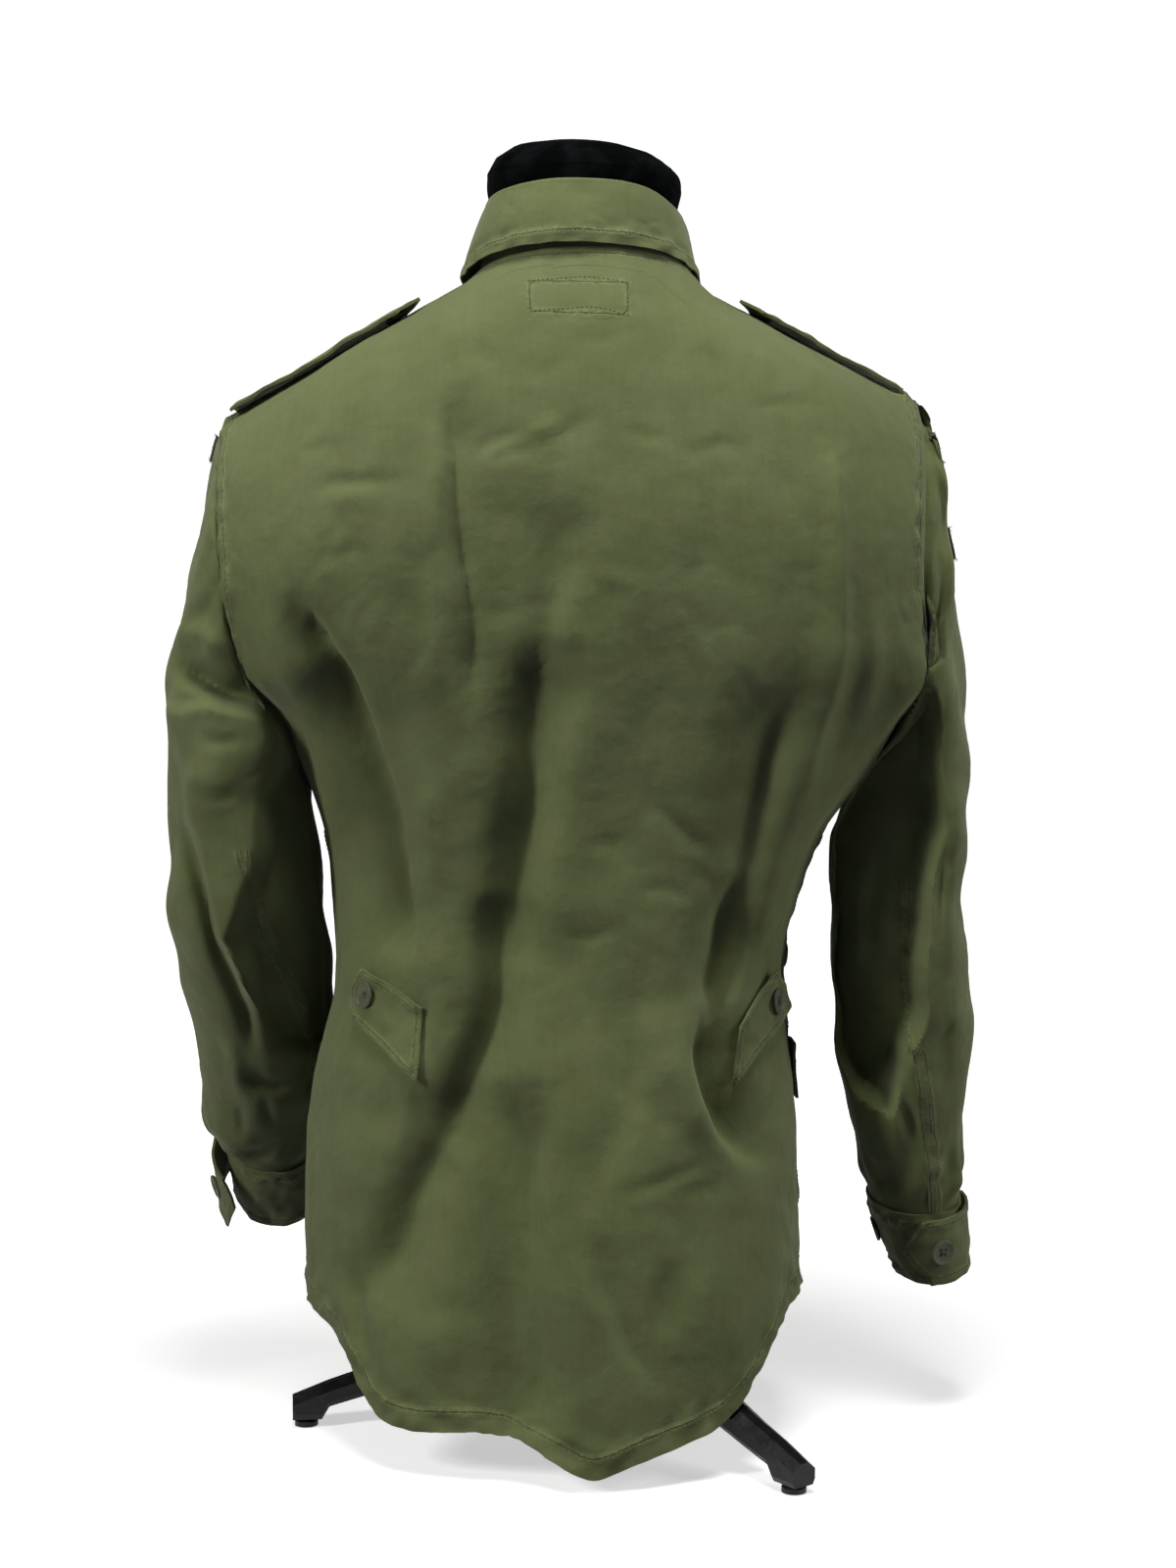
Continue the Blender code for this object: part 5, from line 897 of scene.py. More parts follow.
def within(spots, outline):
    """How far points lie inside a closed outline; negative outside."""
    start = np.array(outline)
    way = np.roll(start, -1, axis=0) - start
    away = spots[:, None] - start
    share = np.clip(np.sum(away * way, axis=2) / np.sum(way * way, axis=1), 0, 1)
    gap = np.linalg.norm(away - share[..., None] * way, axis=2).min(axis=1)
    crossed = (away[..., 1] >= 0) != (away[..., 1] >= way[:, 1])
    beyond = away[..., 0] < away[..., 1] / np.where(way[:, 1] == 0, 1e-9, way[:, 1]) * way[:, 0]
    inside = np.sum(crossed & beyond, axis=1) % 2 == 1
    return np.where(inside, gap, -gap)


def flap_shift(grid, normals, flaps, seed):
    """How far each point moves for the raised and sunk areas that its face shows."""
    drift = np.stack([waves(grid, 0.05, seed), waves(grid, 0.05, seed + 1)], axis=-1)
    flat = grid[..., [0, 2]] + drift * 0.0016
    shift = np.zeros(grid.shape[:2])
    for flap in flaps:
        depth = within(flat.reshape(-1, 2), flap.points).reshape(shift.shape)
        facing = ease(normals[..., 1] * flap.face / 0.35)
        shift += flap.height * ease(depth / flap.soft / 2 + 0.5) * facing
    return shift


def smoothed(grid, times):
    """Soften a grid along its columns, leaving its first and last rows."""
    grid = grid.copy()
    for _ in range(times):
        grid[1:-1] += (grid[:-2] + grid[2:] - 2 * grid[1:-1]) * 0.25
    return grid


def half_body(side, share, front):
    """One side's fine grid: hem row first, from the centre out to the edge."""
    grid = through([row.level for row in CENTRE], body_rows(side, share, front), LEVELS)
    return smoothed(grid, 12)


def calm(grid, edge, top):
    """1 inside a panel, falling to 0 at its side edges and its top."""
    gap = edge_distance(grid)
    near = np.minimum(gap["first"], gap["last"])
    return ease(near / edge) * ease(gap["high"] / top)


def rumple(grid, seed, soft, crisp):
    """Small uneven wrinkles: soft undulations and thin crisp creases, by their two heights."""
    z = grid[..., 2]
    undulate = waves(grid, 0.085, seed, (1.0, 1.0, 0.55)) * soft
    fine = waves(grid, 0.030, seed + 3) * soft * 0.16
    upper = 0.55 + 0.45 * ease((z - 0.45) / 0.2)
    lines = creases(grid, 0.050, seed + 7) + 0.7 * creases(grid, 0.032, seed + 11, 0.35)
    return undulate + fine - lines * crisp * upper


def back():
    """The back panel: its folds, the felled armhole and side seams, and the hem."""
    share = bunched(64, 18, 0.10)
    left = half_body("left", share, False)
    right = half_body("right", share, False)
    grid = np.concatenate([right[:, ::-1], left[:, 1:]], axis=1)[:, ::-1]
    normals = grid_normals(grid)
    quiet = calm(grid, 0.020, 0.05)
    shift = fold_shift(grid, normals, BACK_FOLDS, 21) + rumple(grid, 31, 0.0011, 0.0007)
    shift += waves(grid, 0.16, 35, (1.0, 1.0, 0.3)) * 0.0016
    past = np.maximum(-DEEPEST - shift, 0.0)
    shift += past - np.tanh(past / DEEPEST_SOFT) * DEEPEST_SOFT
    grid = grid + normals * (shift * quiet)[..., None]
    seams = [Seam("first", 0.0095, (0.0014, 0.0082), 0.0010, 0.00085),
             Seam("last", 0.0095, (0.0014, 0.0082), 0.0010, 0.00085),
             Seam("low", 0.0150, (0.0138,), 0.0007, 0.00110),
             Seam("high", 0.0070, (0.0060,), 0.0004, 0.00025)]
    grid, nearest = sew(grid, grid_normals(grid), seams, 41)
    box = within(grid[..., [0, 2]].reshape(-1, 2), LABEL).reshape(nearest.shape)
    pulled = np.exp(-(box / 0.004) ** 2)
    sunk = (waves(grid, 0.011, 45, count=40) * 0.00045 * pulled - 0.0005 * np.exp(-(box / 0.0018) ** 2))
    grid = grid + grid_normals(grid) * (sunk * ease((grid[..., 1] + 0.01) / 0.01))[..., None]
    nearest = np.where(np.abs(box) < np.abs(nearest), box, nearest)
    made = shell("cloth_back", grid, SHELL, "cloth", stitch=nearest)
    normals = grid_normals(grid)
    surface = Surface(grid)
    lines = sewn_lines(grid, normals, seams)
    corners = [surface.seek(x, z) for x, z in LABEL]
    for a, b in zip(corners, corners[1:] + corners[:1]):
        u, v = np.linspace(a[0], b[0], 30), np.linspace(a[1], b[1], 30)
        lines.append((surface.point(u, v) + surface.normal(u, v) * 0.0002, surface.normal(u, v)))
    thread = stitching("stitching_back", lines)
    cloth("back")
    return surface


def front_line(side):
    """Both fronts' rows as one line: shares from -0.5 on the other side to 1 at this side's seam."""
    knots = [row.level for row in CENTRE]
    share = np.linspace(0, 1, 161)
    here = smoothed(through(knots, body_rows(side, share, True), LEVELS), 12)
    other = "right" if side == "left" else "left"
    there = smoothed(through(knots, body_rows(other, share[:81], True), LEVELS), 12)
    return np.concatenate([-share[80:0:-1], share]), np.concatenate([there[:, :0:-1], here], axis=1)


def front(side):
    """A front panel from where the fronts meet to the side seam."""
    sign = 1 if side == "left" else -1
    share, line = front_line(side)
    spread = bunched(58, 14, 0.10)
    grid = np.zeros((len(LEVELS), len(spread), 3))
    for r, row in enumerate(line):
        start = np.interp(UNDERLAP_X * sign, row[:, 0] * sign, share)
        at = start + (1 - start) * spread
        for axis in range(3):
            grid[r, :, axis] = np.interp(at, share, row[:, axis])
    grid = grid if side == "left" else grid[:, ::-1]
    normals = grid_normals(grid)
    quiet = calm(grid, 0.020, 0.05)
    shift = fold_shift(grid, normals, FRONT_FOLDS, 23) + rumple(grid, 51, 0.0012, 0.0007)
    shift += waves(grid, 0.15, 55, (1.0, 1.0, 0.3)) * 0.0018
    grid = grid + normals * (shift * quiet)[..., None]
    seams = [Seam("low", 0.0150, (0.0138,), 0.0007, 0.00110),
             Seam("high", 0.0070, (0.0060,), 0.0004, 0.00025)]
    grid, nearest = sew(grid, grid_normals(grid), seams, 43)
    made = shell("cloth_front_" + side, grid, SHELL, "cloth", stitch=nearest)
    lines = sewn_lines(grid, grid_normals(grid), seams)
    thread = stitching("stitching_front_" + side, lines)
    cloth("front_" + side)
    return Surface(grid)


# ---------------------------------------------------------------- sleeves
def armhole(side):
    """The armhole's points, from the shoulder down its back edge and up its front edge."""
    knots = [row.level for row in CENTRE]
    levels = np.linspace(CENTRE[UNDERARM].level, CENTRE[-1].level, 40)
    back_edge = through(knots, body_rows(side, np.array([1.0]), False), levels)[:, 0]
    front_edge = through(knots, body_rows(side, np.array([1.0]), True), levels)[:, 0]
    return back_edge[::-1], front_edge


def spaced(line, count):
    """count + 1 points evenly along a line."""
    at = lengths(line)
    return np.stack([np.interp(np.linspace(0, 1, count + 1), at, line[:, k]) for k in range(3)], axis=-1)


def sleeve_tube(side):
    """The whole sleeve's outer grid, rows from the armhole to the cuff, and the angles of its columns."""
    sign = 1 if side == "left" else -1
    behind, ahead = armhole(side)
    loop = np.concatenate([spaced(behind, 72), spaced(ahead, 72)[1:-1]])
    angles = np.linspace(0, 360, len(loop), endpoint=False)
    rings = [loop + np.array([sign * ARMHOLE_GAP, 0, 0])]
    for ring in SLEEVE[side]:
        moved = loop + np.array([sign * ring.out, 0, 0])
        rings.append(ring_points(side, ring, angles) * ring.own + moved * (1 - ring.own))
    middles = np.array([ring.mean(axis=0) for ring in rings])
    knots = lengths(middles)
    even = np.linspace(0, 1, SLEEVE_ROWS + 1) ** 1.15
    grid = smoothed(through(knots, np.array(rings), even), 10)
    normals = outward(grid, middles, knots, even)
    hold = ease(even / 0.03) * ease((1 - even) / 0.05)
    firm = ease(even / 0.012) * ease((1 - even) / 0.05)
    deep = fold_shift(grid, normals, SLEEVE_FOLDS[side], 61 if side == "left" else 65)
    deep += flap_shift(grid, normals, SLEEVE_FLAPS[side], 67)
    shift = rumple(grid, 71 if side == "left" else 75, 0.0011, 0.0008)
    shift += waves(grid, 0.06, 79, (1.0, 1.0, 1.0)) * 0.0012
    gather = waves(grid * np.array([1, 1, 0.25]), 0.022, 81) * 0.0019 * ease((even - 0.86) / 0.12)[:, None]
    grid[..., 1] += deep * np.sign(normals[..., 1]) * firm[:, None]
    inner = ease(-normals[..., 0] * sign / 0.6) * firm[:, None]
    for pull in SLEEVE_PULLS[side]:
        grid[..., 0] -= sign * pull.shift * np.exp(-((grid[..., 2] - pull.level) / pull.height) ** 2) * inner
    grid = grid + normals * ((shift + gather) * hold[:, None])[..., None]
    middle = grid[-1].mean(axis=0)
    way = middle - grid[-8].mean(axis=0)
    way /= np.linalg.norm(way)
    tuck = [middle + (grid[-1] - middle) * (1 - TUCK_IN * step) + way * TUCK * step
            for step in (0.2, 0.5, 1.0)]
    return np.concatenate([grid, tuck]), angles


def outward(grid, middles, knots, even):
    """Normals of a closed grid, turned away from its middle line."""
    normals = grid_normals(grid, closed=True)
    centre = through(knots, middles, even)[:, None]
    away = np.sign(np.sum(normals * (grid - centre), axis=2, keepdims=True).sum())
    return normals * away


def sleeves():
    """Top and under sleeve on each side; the top's back edge is felled over the under's."""
    surfaces = {}
    for side in ("left", "right"):
        grid, angles = sleeve_tube(side)
        count = len(angles)
        start = int(np.argmin(np.abs(angles - (TOP_SLEEVE[0] % 360))))
        stop = int(np.argmin(np.abs(angles - TOP_SLEEVE[1])))
        cuts = {"sleeve_top_": [c % count for c in range(start, count + stop + 1)],
                "sleeve_under_": list(range(stop, start + 1))}
        for kind, columns in cuts.items():
            half = grid[:, columns][::-1]
            half = half if side == "left" else half[:, ::-1]
            facing = grid_normals(half)
            seams = []
            if kind == "sleeve_top_":
                back_edge = "last" if side == "left" else "first"
                seams = [Seam(back_edge, 0.0100, (0.0014, 0.0088), 0.0010, 0.00080)]
            plain = half.copy()
            half, nearest = sew(half, facing, seams, 83)
            half = plain + (half - plain) * ease((SEAM_SHOWS[side] - plain[..., 2:]) / 0.03)
            nearest = np.where(plain[..., 2] < SEAM_SHOWS[side], nearest, 1.0)
            made = shell("cloth_" + kind + side, half, SHELL, "cloth", stitch=nearest)
            surfaces[kind + side] = Surface(half)
            threads = []
            if seams:
                lines = [(points[points[:, 2] < SEAM_SHOWS[side]], facings[points[:, 2] < SEAM_SHOWS[side]])
                         for points, facings in sewn_lines(half, grid_normals(half), seams)]
                threads = [stitching("stitching_" + kind + side, lines)]
            cloth(kind + side)
    return surfaces


# ---------------------------------------------------------------- collar
def collar(back_surface):
    """Stand and fall, open at the front, with a rolled fold and a topstitched edge."""
    degrees = np.linspace(COLLAR_END, -COLLAR_END, 200)
    up = np.array([0.0, 0.0, 1.0])
    out = neck_outward(COLLAR_TOP, degrees)
    sway = waves(np.stack([degrees / 57.3, degrees * 0, degrees * 0], axis=-1), 1.1, 5)[:, None]
    crest = neck_ring(COLLAR_TOP, degrees) - up * COLLAR_ROLL + up * sway * 0.0011
    seam = neckline(degrees) + up * 0.0004
    top = crest - out * (COLLAR_ROLL - WALL) - up * SEAM
    stand_rows = np.array([seam + (top - seam) * step for step in np.linspace(0, 1, 14)])
    made = shell("cloth_collar_stand", stand_rows, SHELL, "cloth")
    cloth("collar_stand")
    edge = neck_ring(COLLAR_EDGE, degrees) + out * sway * 0.0006
    for k in np.flatnonzero(np.abs(degrees) < 80):
        under = back_surface.point(*back_surface.seek(edge[k, 0], edge[k, 2]))[1] + COLLAR_LIE
        drop = np.clip(under - edge[k, 1], -0.012, 0.004)
        edge[k, 1] += drop * ease((80 - abs(degrees[k])) / 30)
    edge[:, 2] -= 0.0035 * np.exp(-((np.abs(degrees) - 92) / 26) ** 2)
    turns = np.radians(np.linspace(180, 0, 10))
    rows = [crest + (out * math.cos(turn) + up * math.sin(turn)) * COLLAR_ROLL for turn in turns]
    start = rows[-1]
    for step in np.linspace(0, 1, 40)[1:]:
        bow = COLLAR_SWELL * math.sin(step * math.pi)
        rows.append(start + (edge - start) * step + out * bow)
    fall = np.array(rows[::-1])
    normals = grid_normals(fall)
    quiet = ease(edge_distance(fall)["high"] / 0.02)
    shift = (rumple(fall, 91, 0.0006, 0.0005) + waves(fall, 0.05, 93) * 0.0006) * quiet
    fall = fall + normals * shift[..., None]
    seams = [Seam("low", 0.0088, (0.0080,), 0.0006, 0.00085),
             Seam("first", 0.0088, (0.0080,), 0.0005, 0.0003),
             Seam("last", 0.0088, (0.0080,), 0.0005, 0.0003)]
    fall, nearest = sew(fall, grid_normals(fall), seams, 95)
    made = shell("cloth_collar_fall", fall, SHELL, "cloth", stitch=nearest)
    thread = stitching("stitching_collar", sewn_lines(fall, grid_normals(fall), seams, 0.006))
    cloth("collar_fall")


# ---------------------------------------------------------------- pieces that lie on panels
def band(name, node, outer, seams, seed, normals=None, thickness=DOUBLE, slot="cloth"):
    """A doubled flat piece with its topstitching."""
    normals = grid_normals(outer) if normals is None else normals
    uneven = waves(outer, 0.018, seed) * 0.00030 + waves(outer, 0.05, seed + 1) * 0.00035
    outer = outer + normals * uneven[..., None]
    outer, nearest = sew(outer, normals, seams, seed + 2)
    made = shell(name, outer, thickness, slot, normals=normals, stitch=nearest)
    threads = []
    if seams:
        lines = sewn_lines(outer, normals, seams, BAND_SKIP)
        threads = [stitching(name.replace("cloth", "stitching"), lines)]
    cloth(node)
    return outer, normals


def topstitch(inset, edges=("first", "last", "low", "high"), raise_=0.0005, pucker=0.00030):
    """Seam rows for a piece stitched round its edges."""
    return [Seam(edge, inset + 0.0010, (inset,), raise_, pucker) for edge in edges]


def on_surface(surface, corner_low, corner_high, rows, columns, shape, find=None):
    """A grid of surface points; shape(row, column) gives each one's x, z from shares 0 to 1."""
    points = np.zeros((rows, columns, 3))
    normals = np.zeros_like(points)
    for r, up in enumerate(np.linspace(corner_low, corner_high, rows)):
        for c, over in enumerate(np.linspace(0, 1, columns)):
            u, v = (find or surface.seek)(*shape(up, over))
            points[r, c] = surface.point(u, v)
            normals[r, c] = surface.normal(u, v)
    return points, normals


def faces_forward(grid):
    """Whether a grid's first corner faces the front."""
    return np.cross(grid[0, 1] - grid[0, 0], grid[1, 0] - grid[0, 0])[1] < 0


def waist_tabs(back_surface):
    """Pointed tabs at the back of the waist, each sewn down at its inner end and buttoned at its tip."""
    for side, tab in WAIST_TAB.items():
        sewn = np.array([tab.sewn_low, tab.sewn_high])
        free = np.array([tab.low, tab.tip, tab.high])

        def shape(up, over):
            inner = sewn[0] + (sewn[1] - sewn[0]) * up
            outer = through([0, 0.5, 1], free, np.array([up]))[0]
            share = over if side == "left" else 1 - over
            return inner + (outer - inner) * share

        points, normals = on_surface(back_surface, 0, 1, 26, 40, shape)
        share = np.linspace(0, 1, 40) if side == "left" else np.linspace(1, 0, 40)
        lift = 0.0012 + 0.0022 * share ** 2 + 0.0007 * np.sin(share * 9)
        outer = points + normals * (lift[None, :, None] + DOUBLE)
        outer = outer[:, ::-1] if faces_forward(outer) else outer
        normals = grid_normals(outer) * (-1 if faces_forward(outer) else 1)
        band("cloth_waist_tab_" + side, "waist_tab_" + side, outer, topstitch(0.0045), 101,
             normals)


def placket():
    """The button stand over the meeting of the fronts, from the neckline to the hem."""
    _, line = front_line("left")
    across_x = np.linspace(*PLACKET_X, 26)
    grid = np.zeros((len(line), len(across_x), 3))
    for r, row in enumerate(line):
        for axis in range(3):
            grid[r, :, axis] = np.interp(across_x, row[:, 0], row[:, axis])
    grid = grid[:-2]
    normals = grid_normals(grid)
    outer = grid + normals * (PLACKET_LIFT + BAND)
    band("cloth_placket", "placket", outer, topstitch(0.0060), 111,
         normals)


def pockets(surfaces):
    """Patch pockets with pointed flaps, laid over the front panels where their solids are."""
    for side in ("left", "right"):
        front_surface = surfaces["front_" + side]
        for node, lift, thick, rows, columns in (("pocket_", 0.0009, DOUBLE * 0.7, 36, 44),
                                                 ("pocket_flap_", 0.0034, DOUBLE, 20, 44)):
            low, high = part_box(node + side)
            low, high = np.array(low) - SHIFT, np.array(high) - SHIFT
            point = FLAP_POINT if node == "pocket_flap_" else 0.0

            def shape(up, over):
                x = low[0] + (high[0] - low[0]) * over
                bottom = low[2] + point * abs(over * 2 - 1)
                return x, bottom + (high[2] - bottom) * up

            points, normals = on_surface(front_surface, 0, 1, rows, columns, shape, front_surface.settle)
            outer = points + normals * (lift + thick)
            seams = topstitch(0.0060, ("first", "last", "low"), 0.0004) + topstitch(0.0060, ("high",), 0.0004)
            band("cloth_" + node + side, node + side, outer, seams, 121, normals,
                 thick)


def cuffs():
    """Cuff bands, each with a pointed tab that its button holds."""
    for side, row in CUFF_TAB.items():
        angles = np.arange(0, 360, 3.0)
        top, bottom = (ring_points(side, ring, angles) for ring in CUFF[side])
        grid = np.array([bottom + (top - bottom) * step for step in np.linspace(0, 1, 34)])
        grid = grid if side == "left" else grid[:, ::-1]
        normals = grid_normals(grid, closed=True)
        wave = waves(grid, 0.030, 131) * 0.0007 + waves(grid, 0.012, 133) * 0.00025
        grid = grid + normals * wave[..., None]
        height = edge_distance(grid)
        puckers = waves(grid, 0.013, 135, count=40) * 0.0009
        near = np.exp(-((height["high"] - 0.008) / 0.004) ** 2)
        near += np.exp(-((height["low"] - 0.006) / 0.003) ** 2)
        grid = grid + normals * (puckers * near)[..., None]
        nearest = np.where(height["high"] < height["low"], height["high"] - 0.008, height["low"] - 0.006)
        made = shell("cloth_cuff_" + side, grid, DOUBLE, "cloth", normals=normals, closed=True,
                     stitch=nearest)
        rows_of = [edge_line(grid, normals, edge, gap) for edge, gap in (("high", 0.008), ("low", 0.006))]
        thread = stitching("stitching_cuff_" + side, rows_of)
        cloth("cuff_" + side)
        cuff_tab(side, row)


def cuff_tab(side, row):
    """A pointed tab round the cuff, standing off towards its tip."""
    turn = np.linspace(row.start, row.tip, 46)
    top, bottom = (ring_points(side, ring, turn) for ring in CUFF[side])
    share = np.linspace(0.06, 0.94, 22)
    squeeze = np.abs(share - 0.5) / 0.44
    t = np.linspace(0, 1, len(turn))
    points = bottom[None] + (top - bottom)[None] * share[:, None, None]
    flat = grid_normals(points)
    middle = (top.mean(axis=0) + bottom.mean(axis=0)) / 2
    flat = flat * np.sign(np.sum(flat * (points - middle), axis=2).mean())
    tip_from = TAB_TIP_FROM[side]
    cut = np.clip((t - tip_from) / (1 - tip_from), 0, 1)
    outer = np.zeros_like(points)
    for r in range(len(share)):
        pulled = t - cut * (1 - tip_from) * 0.85 * squeeze[r]
        for k in range(3):
            outer[r, :, k] = np.interp(pulled, t, points[r, :, k])
    lift = REST + (row.off + 0.0020) * t ** TAB_CURL + 0.0006 * np.sin(t * 8)
    outer = outer + flat * (lift[None, :, None] + DOUBLE)
    if side == "right":
        outer, flat = outer[:, ::-1], flat[:, ::-1]
    band("cloth_cuff_tab_" + side, "cuff_tab_" + side, outer, topstitch(0.0045), 141,
         flat)


def epaulettes():
    """Straps along the shoulder seams, from the armhole to a pointed, buttoned end by the collar."""
    for side, row in EPAULETTE.items():
        sign = 1 if side == "left" else -1
        outer_end = np.array([EDGE[side][-1].x, 0.0, EDGE[side][-1].z])
        inner_end = np.array([NECK_HALF, 0.0, NECK_Z[side]])
        way = (inner_end - outer_end) / np.linalg.norm(inner_end - outer_end)
        step = np.linspace(0, 1, 60)[:, None, None]
        part = np.linspace(-1, 1, 24)[None, :, None]
        base = outer_end + (inner_end - outer_end) * (row.start + (row.end - row.start) * step)
        base = base + np.array([0, 1, 0]) * (row.outer_y + (row.inner_y - row.outer_y) * step)
        cell = base - way * np.abs(part) * STRAP_POINT * step ** 8 + np.array([0, STRAP_HALF, 0]) * part
        rise = STRAP_LIFT + BAND + STRAP_RAISE * step ** 2 - STRAP_DROOP * part ** 2
        cell = cell + np.array([0, 0, 1]) * (rise + 0.0007 * np.sin(step * 11) * np.abs(part))
        grid = cell * np.array([sign, 1, 1])
        grid = grid[::-1] if side == "left" else grid
        band("cloth_epaulette_" + side, "epaulette_" + side, grid, topstitch(0.0045), 151)


def patches(surfaces):
    """Bare cloth patches on the sleeves, their edges frayed into short threads."""
    for name, side in PATCH_SIDE.items():
        sleeve = surfaces["sleeve_top_" + side]
        low, high = (np.array(corner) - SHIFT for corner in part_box(name))
        gap = np.linalg.norm(sleeve.grid - (low + high) / 2, axis=2)
        middle = np.unravel_index(gap.argmin(), gap.shape)[1] / (gap.shape[1] - 1)
        rows = np.arange(sleeve.grid.shape[0]) / (sleeve.grid.shape[0] - 1)
        spread = PATCH_SPREAD / across(sleeve.grid)[sleeve.grid.shape[0] // 2, -1]
        v = np.linspace(middle - spread, middle + spread, 24)
        u = np.zeros((14, len(v)))
        for c, over in enumerate(v):
            z = sleeve.point(rows, over)[:, 2]
            u[:, c] = np.interp(np.linspace(low[2], high[2], 14), z, rows)
        over = np.ones((14, 1)) * v
        points, normals = sleeve.point(u, over), sleeve.normal(u, over)
        outer = points + normals * PATCH_LIFT
        band("cloth_" + name, name, outer, [], 161, normals, PATCH_THICK,
             slot="patch")
        fray(name, outer, normals)


def fray(name, outer, normals):
    """Short loose threads round a patch's edge."""
    rng = np.random.default_rng(len(name))
    rim = np.concatenate([outer[0], outer[:, -1], outer[-1, ::-1], outer[::-1, 0]])
    face = np.concatenate([normals[0], normals[:, -1], normals[-1, ::-1], normals[::-1, 0]])
    middle = outer.mean(axis=(0, 1))
    verts, faces = [], []
    for k in rng.integers(0, len(rim), 130):
        start = rim[k] + rng.normal(size=3) * 0.0004
        away = rim[k] - middle
        away = away / np.linalg.norm(away) + rng.normal(size=3) * 0.7 + face[k] * 0.5
        end = start + away / np.linalg.norm(away) * rng.uniform(0.0015, 0.0045)
        side = np.cross(away, face[k])
        side = side / np.linalg.norm(side) * 0.00016
        lift = face[k] * 0.00020
        n = len(verts)
        verts.extend([start + side, start - side, start + lift, end])
        faces.extend([(n, n + 1, n + 3), (n + 1, n + 2, n + 3), (n + 2, n, n + 3), (n, n + 2, n + 1)])
    mesh = bpy.data.meshes.new("fray_" + name)
    mesh.from_pydata([tuple(v) for v in np.array(verts) + SHIFT], [], faces)
    piece("fray_" + name, mesh, "patch", "fray")


# ---------------------------------------------------------------- buttons
def button_mesh():
    """A four-hole button with a raised rim, a dished face and drilled holes, facing +Z."""
    profile = [(0.0, 0.0), (0.0075, 0.0), (0.0090, 0.0007), (0.0095, 0.0016), (0.0093, 0.0026),
               (0.0086, 0.0031), (0.0078, 0.0029), (0.0070, 0.0022), (0.0060, 0.0019), (0.0, 0.0018)]
    work = bmesh.new()
    for a, b in zip(profile, profile[1:]):
        work.edges.new([work.verts.new((r, 0, z)) for r, z in (a, b)])
    bmesh.ops.remove_doubles(work, verts=work.verts, dist=1e-6)
    bmesh.ops.spin(work, geom=work.verts[:] + work.edges[:], cent=(0, 0, 0), axis=(0, 0, 1),
                   angle=2 * math.pi, steps=40, use_merge=True)
    bmesh.ops.remove_doubles(work, verts=work.verts, dist=1e-6)
    bmesh.ops.recalc_face_normals(work, faces=work.faces)
    disc = bpy.data.meshes.new("disc")
    work.to_mesh(disc)
    work.free()
    blank = bpy.data.objects.new("blank", disc)
    bpy.context.scene.collection.objects.link(blank)
    drills = []
    for x in (-HOLE_REACH, HOLE_REACH):
        for y in (-HOLE_REACH, HOLE_REACH):
            bpy.ops.mesh.primitive_cylinder_add(vertices=14, radius=HOLE_RADIUS, depth=0.02,
                                                location=(x, y, 0))
            drill = bpy.context.object
            drills.append(drill)
            cut = blank.modifiers.new("hole", "BOOLEAN")
            cut.operation = "DIFFERENCE"
            cut.solver = "EXACT"
            cut.object = drill
    graph = bpy.context.evaluated_depsgraph_get()
    mesh = bpy.data.meshes.new_from_object(blank.evaluated_get(graph))
    for old in (blank, *drills):
        bpy.data.objects.remove(old)
    mesh.shade_smooth()
    mesh.set_sharp_from_angle(angle=math.radians(35))
    mesh.materials.clear()
    mesh.materials.append(LOOKS["button"])
    return mesh


def buttons():
    """Every button of the solids as a four-hole one, sewn on with crossed thread."""
    mesh = button_mesh()
    for name, node in sorted(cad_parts.items()):
        if not name.startswith("button_"):
            continue
        points = np.array([vertex.co[:] for vertex in node.data.vertices])
        middle = points.mean(axis=0)
        _, _, axes = np.linalg.svd(points - middle)
        facing = axes[2]
        axis = np.array(AXES[name.rsplit("_", 1)[-1]] if "cuff" in name else (0, 0, 0))
        away = middle - SHIFT - axis
        away = np.array([away[0], away[1], 0.0]) if "epaulette" not in name else np.array([0, 0, 1.0])
        facing = facing * np.sign(facing @ away)
        back_face = (points @ facing).min()
        seat = middle + facing * (back_face - middle @ facing)
        made = bpy.data.objects.new("disc_" + name, mesh)
        bpy.context.scene.collection.objects.link(made)
        turn = Vector(facing).to_track_quat("Z", "Y")
        made.rotation_mode = "QUATERNION"
        made.rotation_quaternion = turn
        made.location = seat
        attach(made, "root")
        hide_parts(name)
        sew_on(name, seat, turn)


def sew_on(name, seat, turn):
    """Crossed threads over a button's four holes."""
    verts, faces = [], []
    for lift, (ax, ay, bx, by) in enumerate(((-1, -1, 1, 1), (-1, 1, 1, -1))):
        for offset in (-0.00035, 0.0, 0.00035):
            a = Vector((ax * HOLE_REACH + offset, ay * HOLE_REACH, 0.0012))
            b = Vector((bx * HOLE_REACH + offset, by * HOLE_REACH, 0.0012))
            top = 0.0021 + 0.0003 * lift
            line = [a, a.lerp(b, 0.15), a.lerp(b, 0.5), a.lerp(b, 0.85), b]
            heights = [0.0008, top, top + 0.0001, top, 0.0008]
            side = (b - a).normalized().cross(Vector((0, 0, 1))) * 0.00022
            n = len(verts)
            for place, height in zip(line, heights):
                middle = Vector((place.x, place.y, height))
                verts.extend([middle + side, middle - side, Vector((place.x, place.y, height + 0.00035))])
            for k in range(4):
                m = n + 3 * k
                faces.extend([(m, m + 1, m + 4, m + 3), (m + 1, m + 2, m + 5, m + 4),
                              (m + 2, m, m + 3, m + 5)])
            faces.extend([(n, n + 2, n + 1), (n + 12, n + 13, n + 14)])
    mesh = bpy.data.meshes.new("sewn_" + name)
    place = [turn @ v + Vector(seat) for v in verts]
    mesh.from_pydata([tuple(v) for v in place], [], faces)
    piece("sewn_" + name, mesh, "button", "thread")


